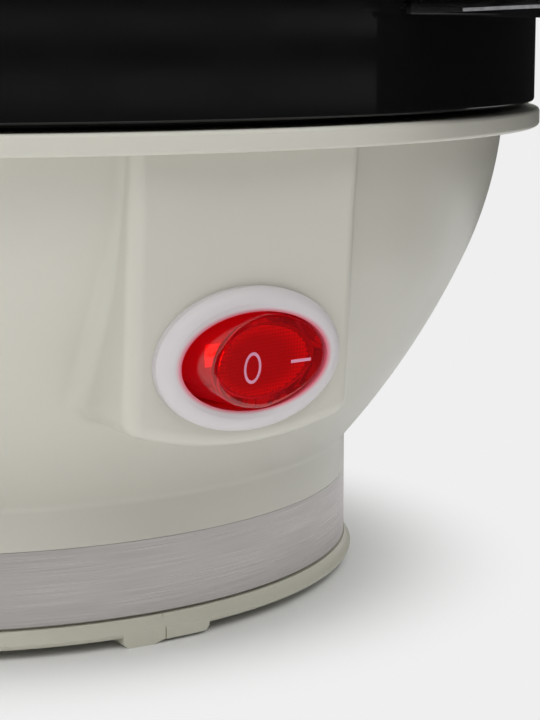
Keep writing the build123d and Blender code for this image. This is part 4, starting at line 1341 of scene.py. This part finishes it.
@dataclass
class Studio:
    """Pale floor, soft light from the left and the camera where the photograph was taken from."""

    floor_size: float = 8.0
    floor_roughness: float = 0.9
    floor_colour: str = "FAFAFA"
    # Painted shade: light thrown back by the floor darkens to this tone towards +X, dimming the part's right side.
    floor_painted_shade: str = "8C8C8C"
    painted_shade_from_m: tuple[float, float] = (0.03, 0.14)
    floor_seen: str = "E6E6E6"
    fade_m: tuple[float, float] = (0.056, 0.088)
    even_light: float = 0.28
    side_light: float = 0.25
    side_from: tuple[float, float, float] = (-1.0, 0.05, 0.0)
    top_light: float = 2.0
    top_from: tuple[float, float] = (0.35, 0.9)
    backdrop: str = "EFEFEF"
    camera_place: tuple[float, float, float] = (-0.1288, -0.2847, 0.0807)
    camera_pitch: float = 80.6
    camera_turn: float = -32.88
    lens_mm: float = 102.6

    def seen(self, tree: NodeTree) -> NodeSocket:
        """Tells what is seen from what gives light.

        Args:
            tree: Node tree of a material or world.

        Returns:
            A value that is 1 for what the camera sees, also in metal and through glass, and 0 for light.
        """
        path = add_node(tree, "LightPath")
        seen = path.outputs["Is Camera Ray"]
        for way in ("Is Glossy Ray", "Is Transmission Ray"):
            seen = add_node(tree, "Math", {0: seen, 1: path.outputs[way]}, operation="MAXIMUM").outputs[0]
        return seen

    def floor(self) -> None:
        """Lays the floor under the feet. What is seen of it turns into the backdrop's tone away from the part."""
        half = self.floor_size / 2 / MM
        corners = ((-half, -half), (half, -half), (half, half), (-half, half))
        floor = mesh_piece("floor", sheet([Vector((x, y, 0.0)) for x, y in corners]))
        surface = Surface("floor_card", self.floor_colour, self.floor_roughness)
        surface.give({"Specular IOR Level": 0.0})
        tree = surface.tree
        seen = self.seen(tree)
        place = add_node(tree, "TexCoord")
        axes = add_node(tree, "SeparateXYZ", {0: place.outputs["Object"]})
        # Painted shade: only light thrown back by the floor is darker towards +X; the camera sees floor_seen.
        lit, dim = self.painted_shade_from_m
        painted_shade_share = add_node(tree, "MapRange", {"Value": axes.outputs["X"], "From Min": lit, "From Max": dim},
                           interpolation_type="SMOOTHSTEP")
        bounce_with_painted_shade = add_node(tree, "Mix", {
            0: painted_shade_share.outputs["Result"], 6: surface.colour, 7: linear(self.floor_painted_shade),
        }, data_type="RGBA")
        tone = add_node(tree, "Mix", {0: seen, 6: bounce_with_painted_shade.outputs[2], 7: linear(self.floor_seen)},
                        data_type="RGBA")
        surface.give({"Base Color": tone.outputs[2]})
        reach = add_node(tree, "VectorMath", {0: place.outputs["Object"]}, operation="LENGTH")
        near, far = self.fade_m
        fade = add_node(tree, "MapRange", {
            "Value": reach.outputs["Value"], "From Min": near, "From Max": far, "To Min": 0.0, "To Max": 1.0,
        }, interpolation_type="SMOOTHSTEP")
        share = add_node(tree, "Math", {0: fade.outputs["Result"], 1: seen}, operation="MULTIPLY")
        glow = add_node(tree, "Emission", {"Color": linear(self.backdrop), "Strength": 1.0})
        mix = add_node(tree, "MixShader", {
            0: share.outputs[0], 1: surface.shader.outputs[0], 2: glow.outputs[0],
        })
        feed(tree, tree.nodes["Material Output"], {"Surface": mix.outputs[0]})
        floor.data.materials.append(surface.material)

    def sky(self) -> None:
        """Sets the soft light, and the pale backdrop that the camera, gloss and glass see."""
        world = bpy.data.worlds.new("studio")
        world.use_nodes = True
        bpy.context.scene.world = world
        tree = world.node_tree
        tree.nodes.clear()
        way = add_node(tree, "TexCoord")
        facing = add_node(tree, "VectorMath", {0: way.outputs["Generated"], 1: self.side_from},
                          operation="DOT_PRODUCT")
        side = add_node(tree, "MapRange", {
            "Value": facing.outputs["Value"], "From Min": -1.0, "From Max": 1.0,
            "To Min": self.even_light - self.side_light, "To Max": self.even_light + self.side_light,
        })
        axes = add_node(tree, "SeparateXYZ", {0: way.outputs["Generated"]})
        low, high = self.top_from
        top = add_node(tree, "MapRange", {
            "Value": axes.outputs["Z"], "From Min": low, "From Max": high, "To Min": 0.0, "To Max": self.top_light,
        }, interpolation_type="SMOOTHSTEP")
        level = add_node(tree, "Math", {0: side.outputs["Result"], 1: top.outputs["Result"]}, operation="ADD")
        light = add_node(tree, "Background", {"Color": linear("FFFFFF"), "Strength": level.outputs[0]})
        shown = add_node(tree, "Background", {"Color": linear(self.backdrop), "Strength": 1.0})
        mix = add_node(tree, "MixShader", {0: self.seen(tree), 1: light.outputs[0], 2: shown.outputs[0]})
        add_node(tree, "OutputWorld", {"Surface": mix.outputs[0]})

    def camera(self) -> None:
        """Stands the camera at the photograph's place."""
        data = bpy.data.cameras.new("camera")
        data.lens = self.lens_mm
        data.clip_start = 0.01
        camera = bpy.data.objects.new("camera", data)
        camera.location = self.camera_place
        camera.rotation_euler = (math.radians(self.camera_pitch), 0.0, math.radians(self.camera_turn))
        bpy.context.scene.collection.objects.link(camera)
        bpy.context.scene.camera = camera

    def build(self) -> None:
        """Sets up the studio."""
        bpy.context.scene.view_settings.view_transform = "Standard"
        self.floor()
        for card in CARDS:
            card.stand()
        self.sky()
        self.camera()


def main() -> None:
    """Builds every sub-assembly."""
    logging.basicConfig(level=logging.INFO, format="%(name)s: %(message)s")
    for part in (Base(), HeatingUnit(), RockerSwitch(), EggTray(), Lid(), Studio()):
        log.info("building %s", type(part).__name__)
        part.build()


if __name__ == "__main__":
    main()
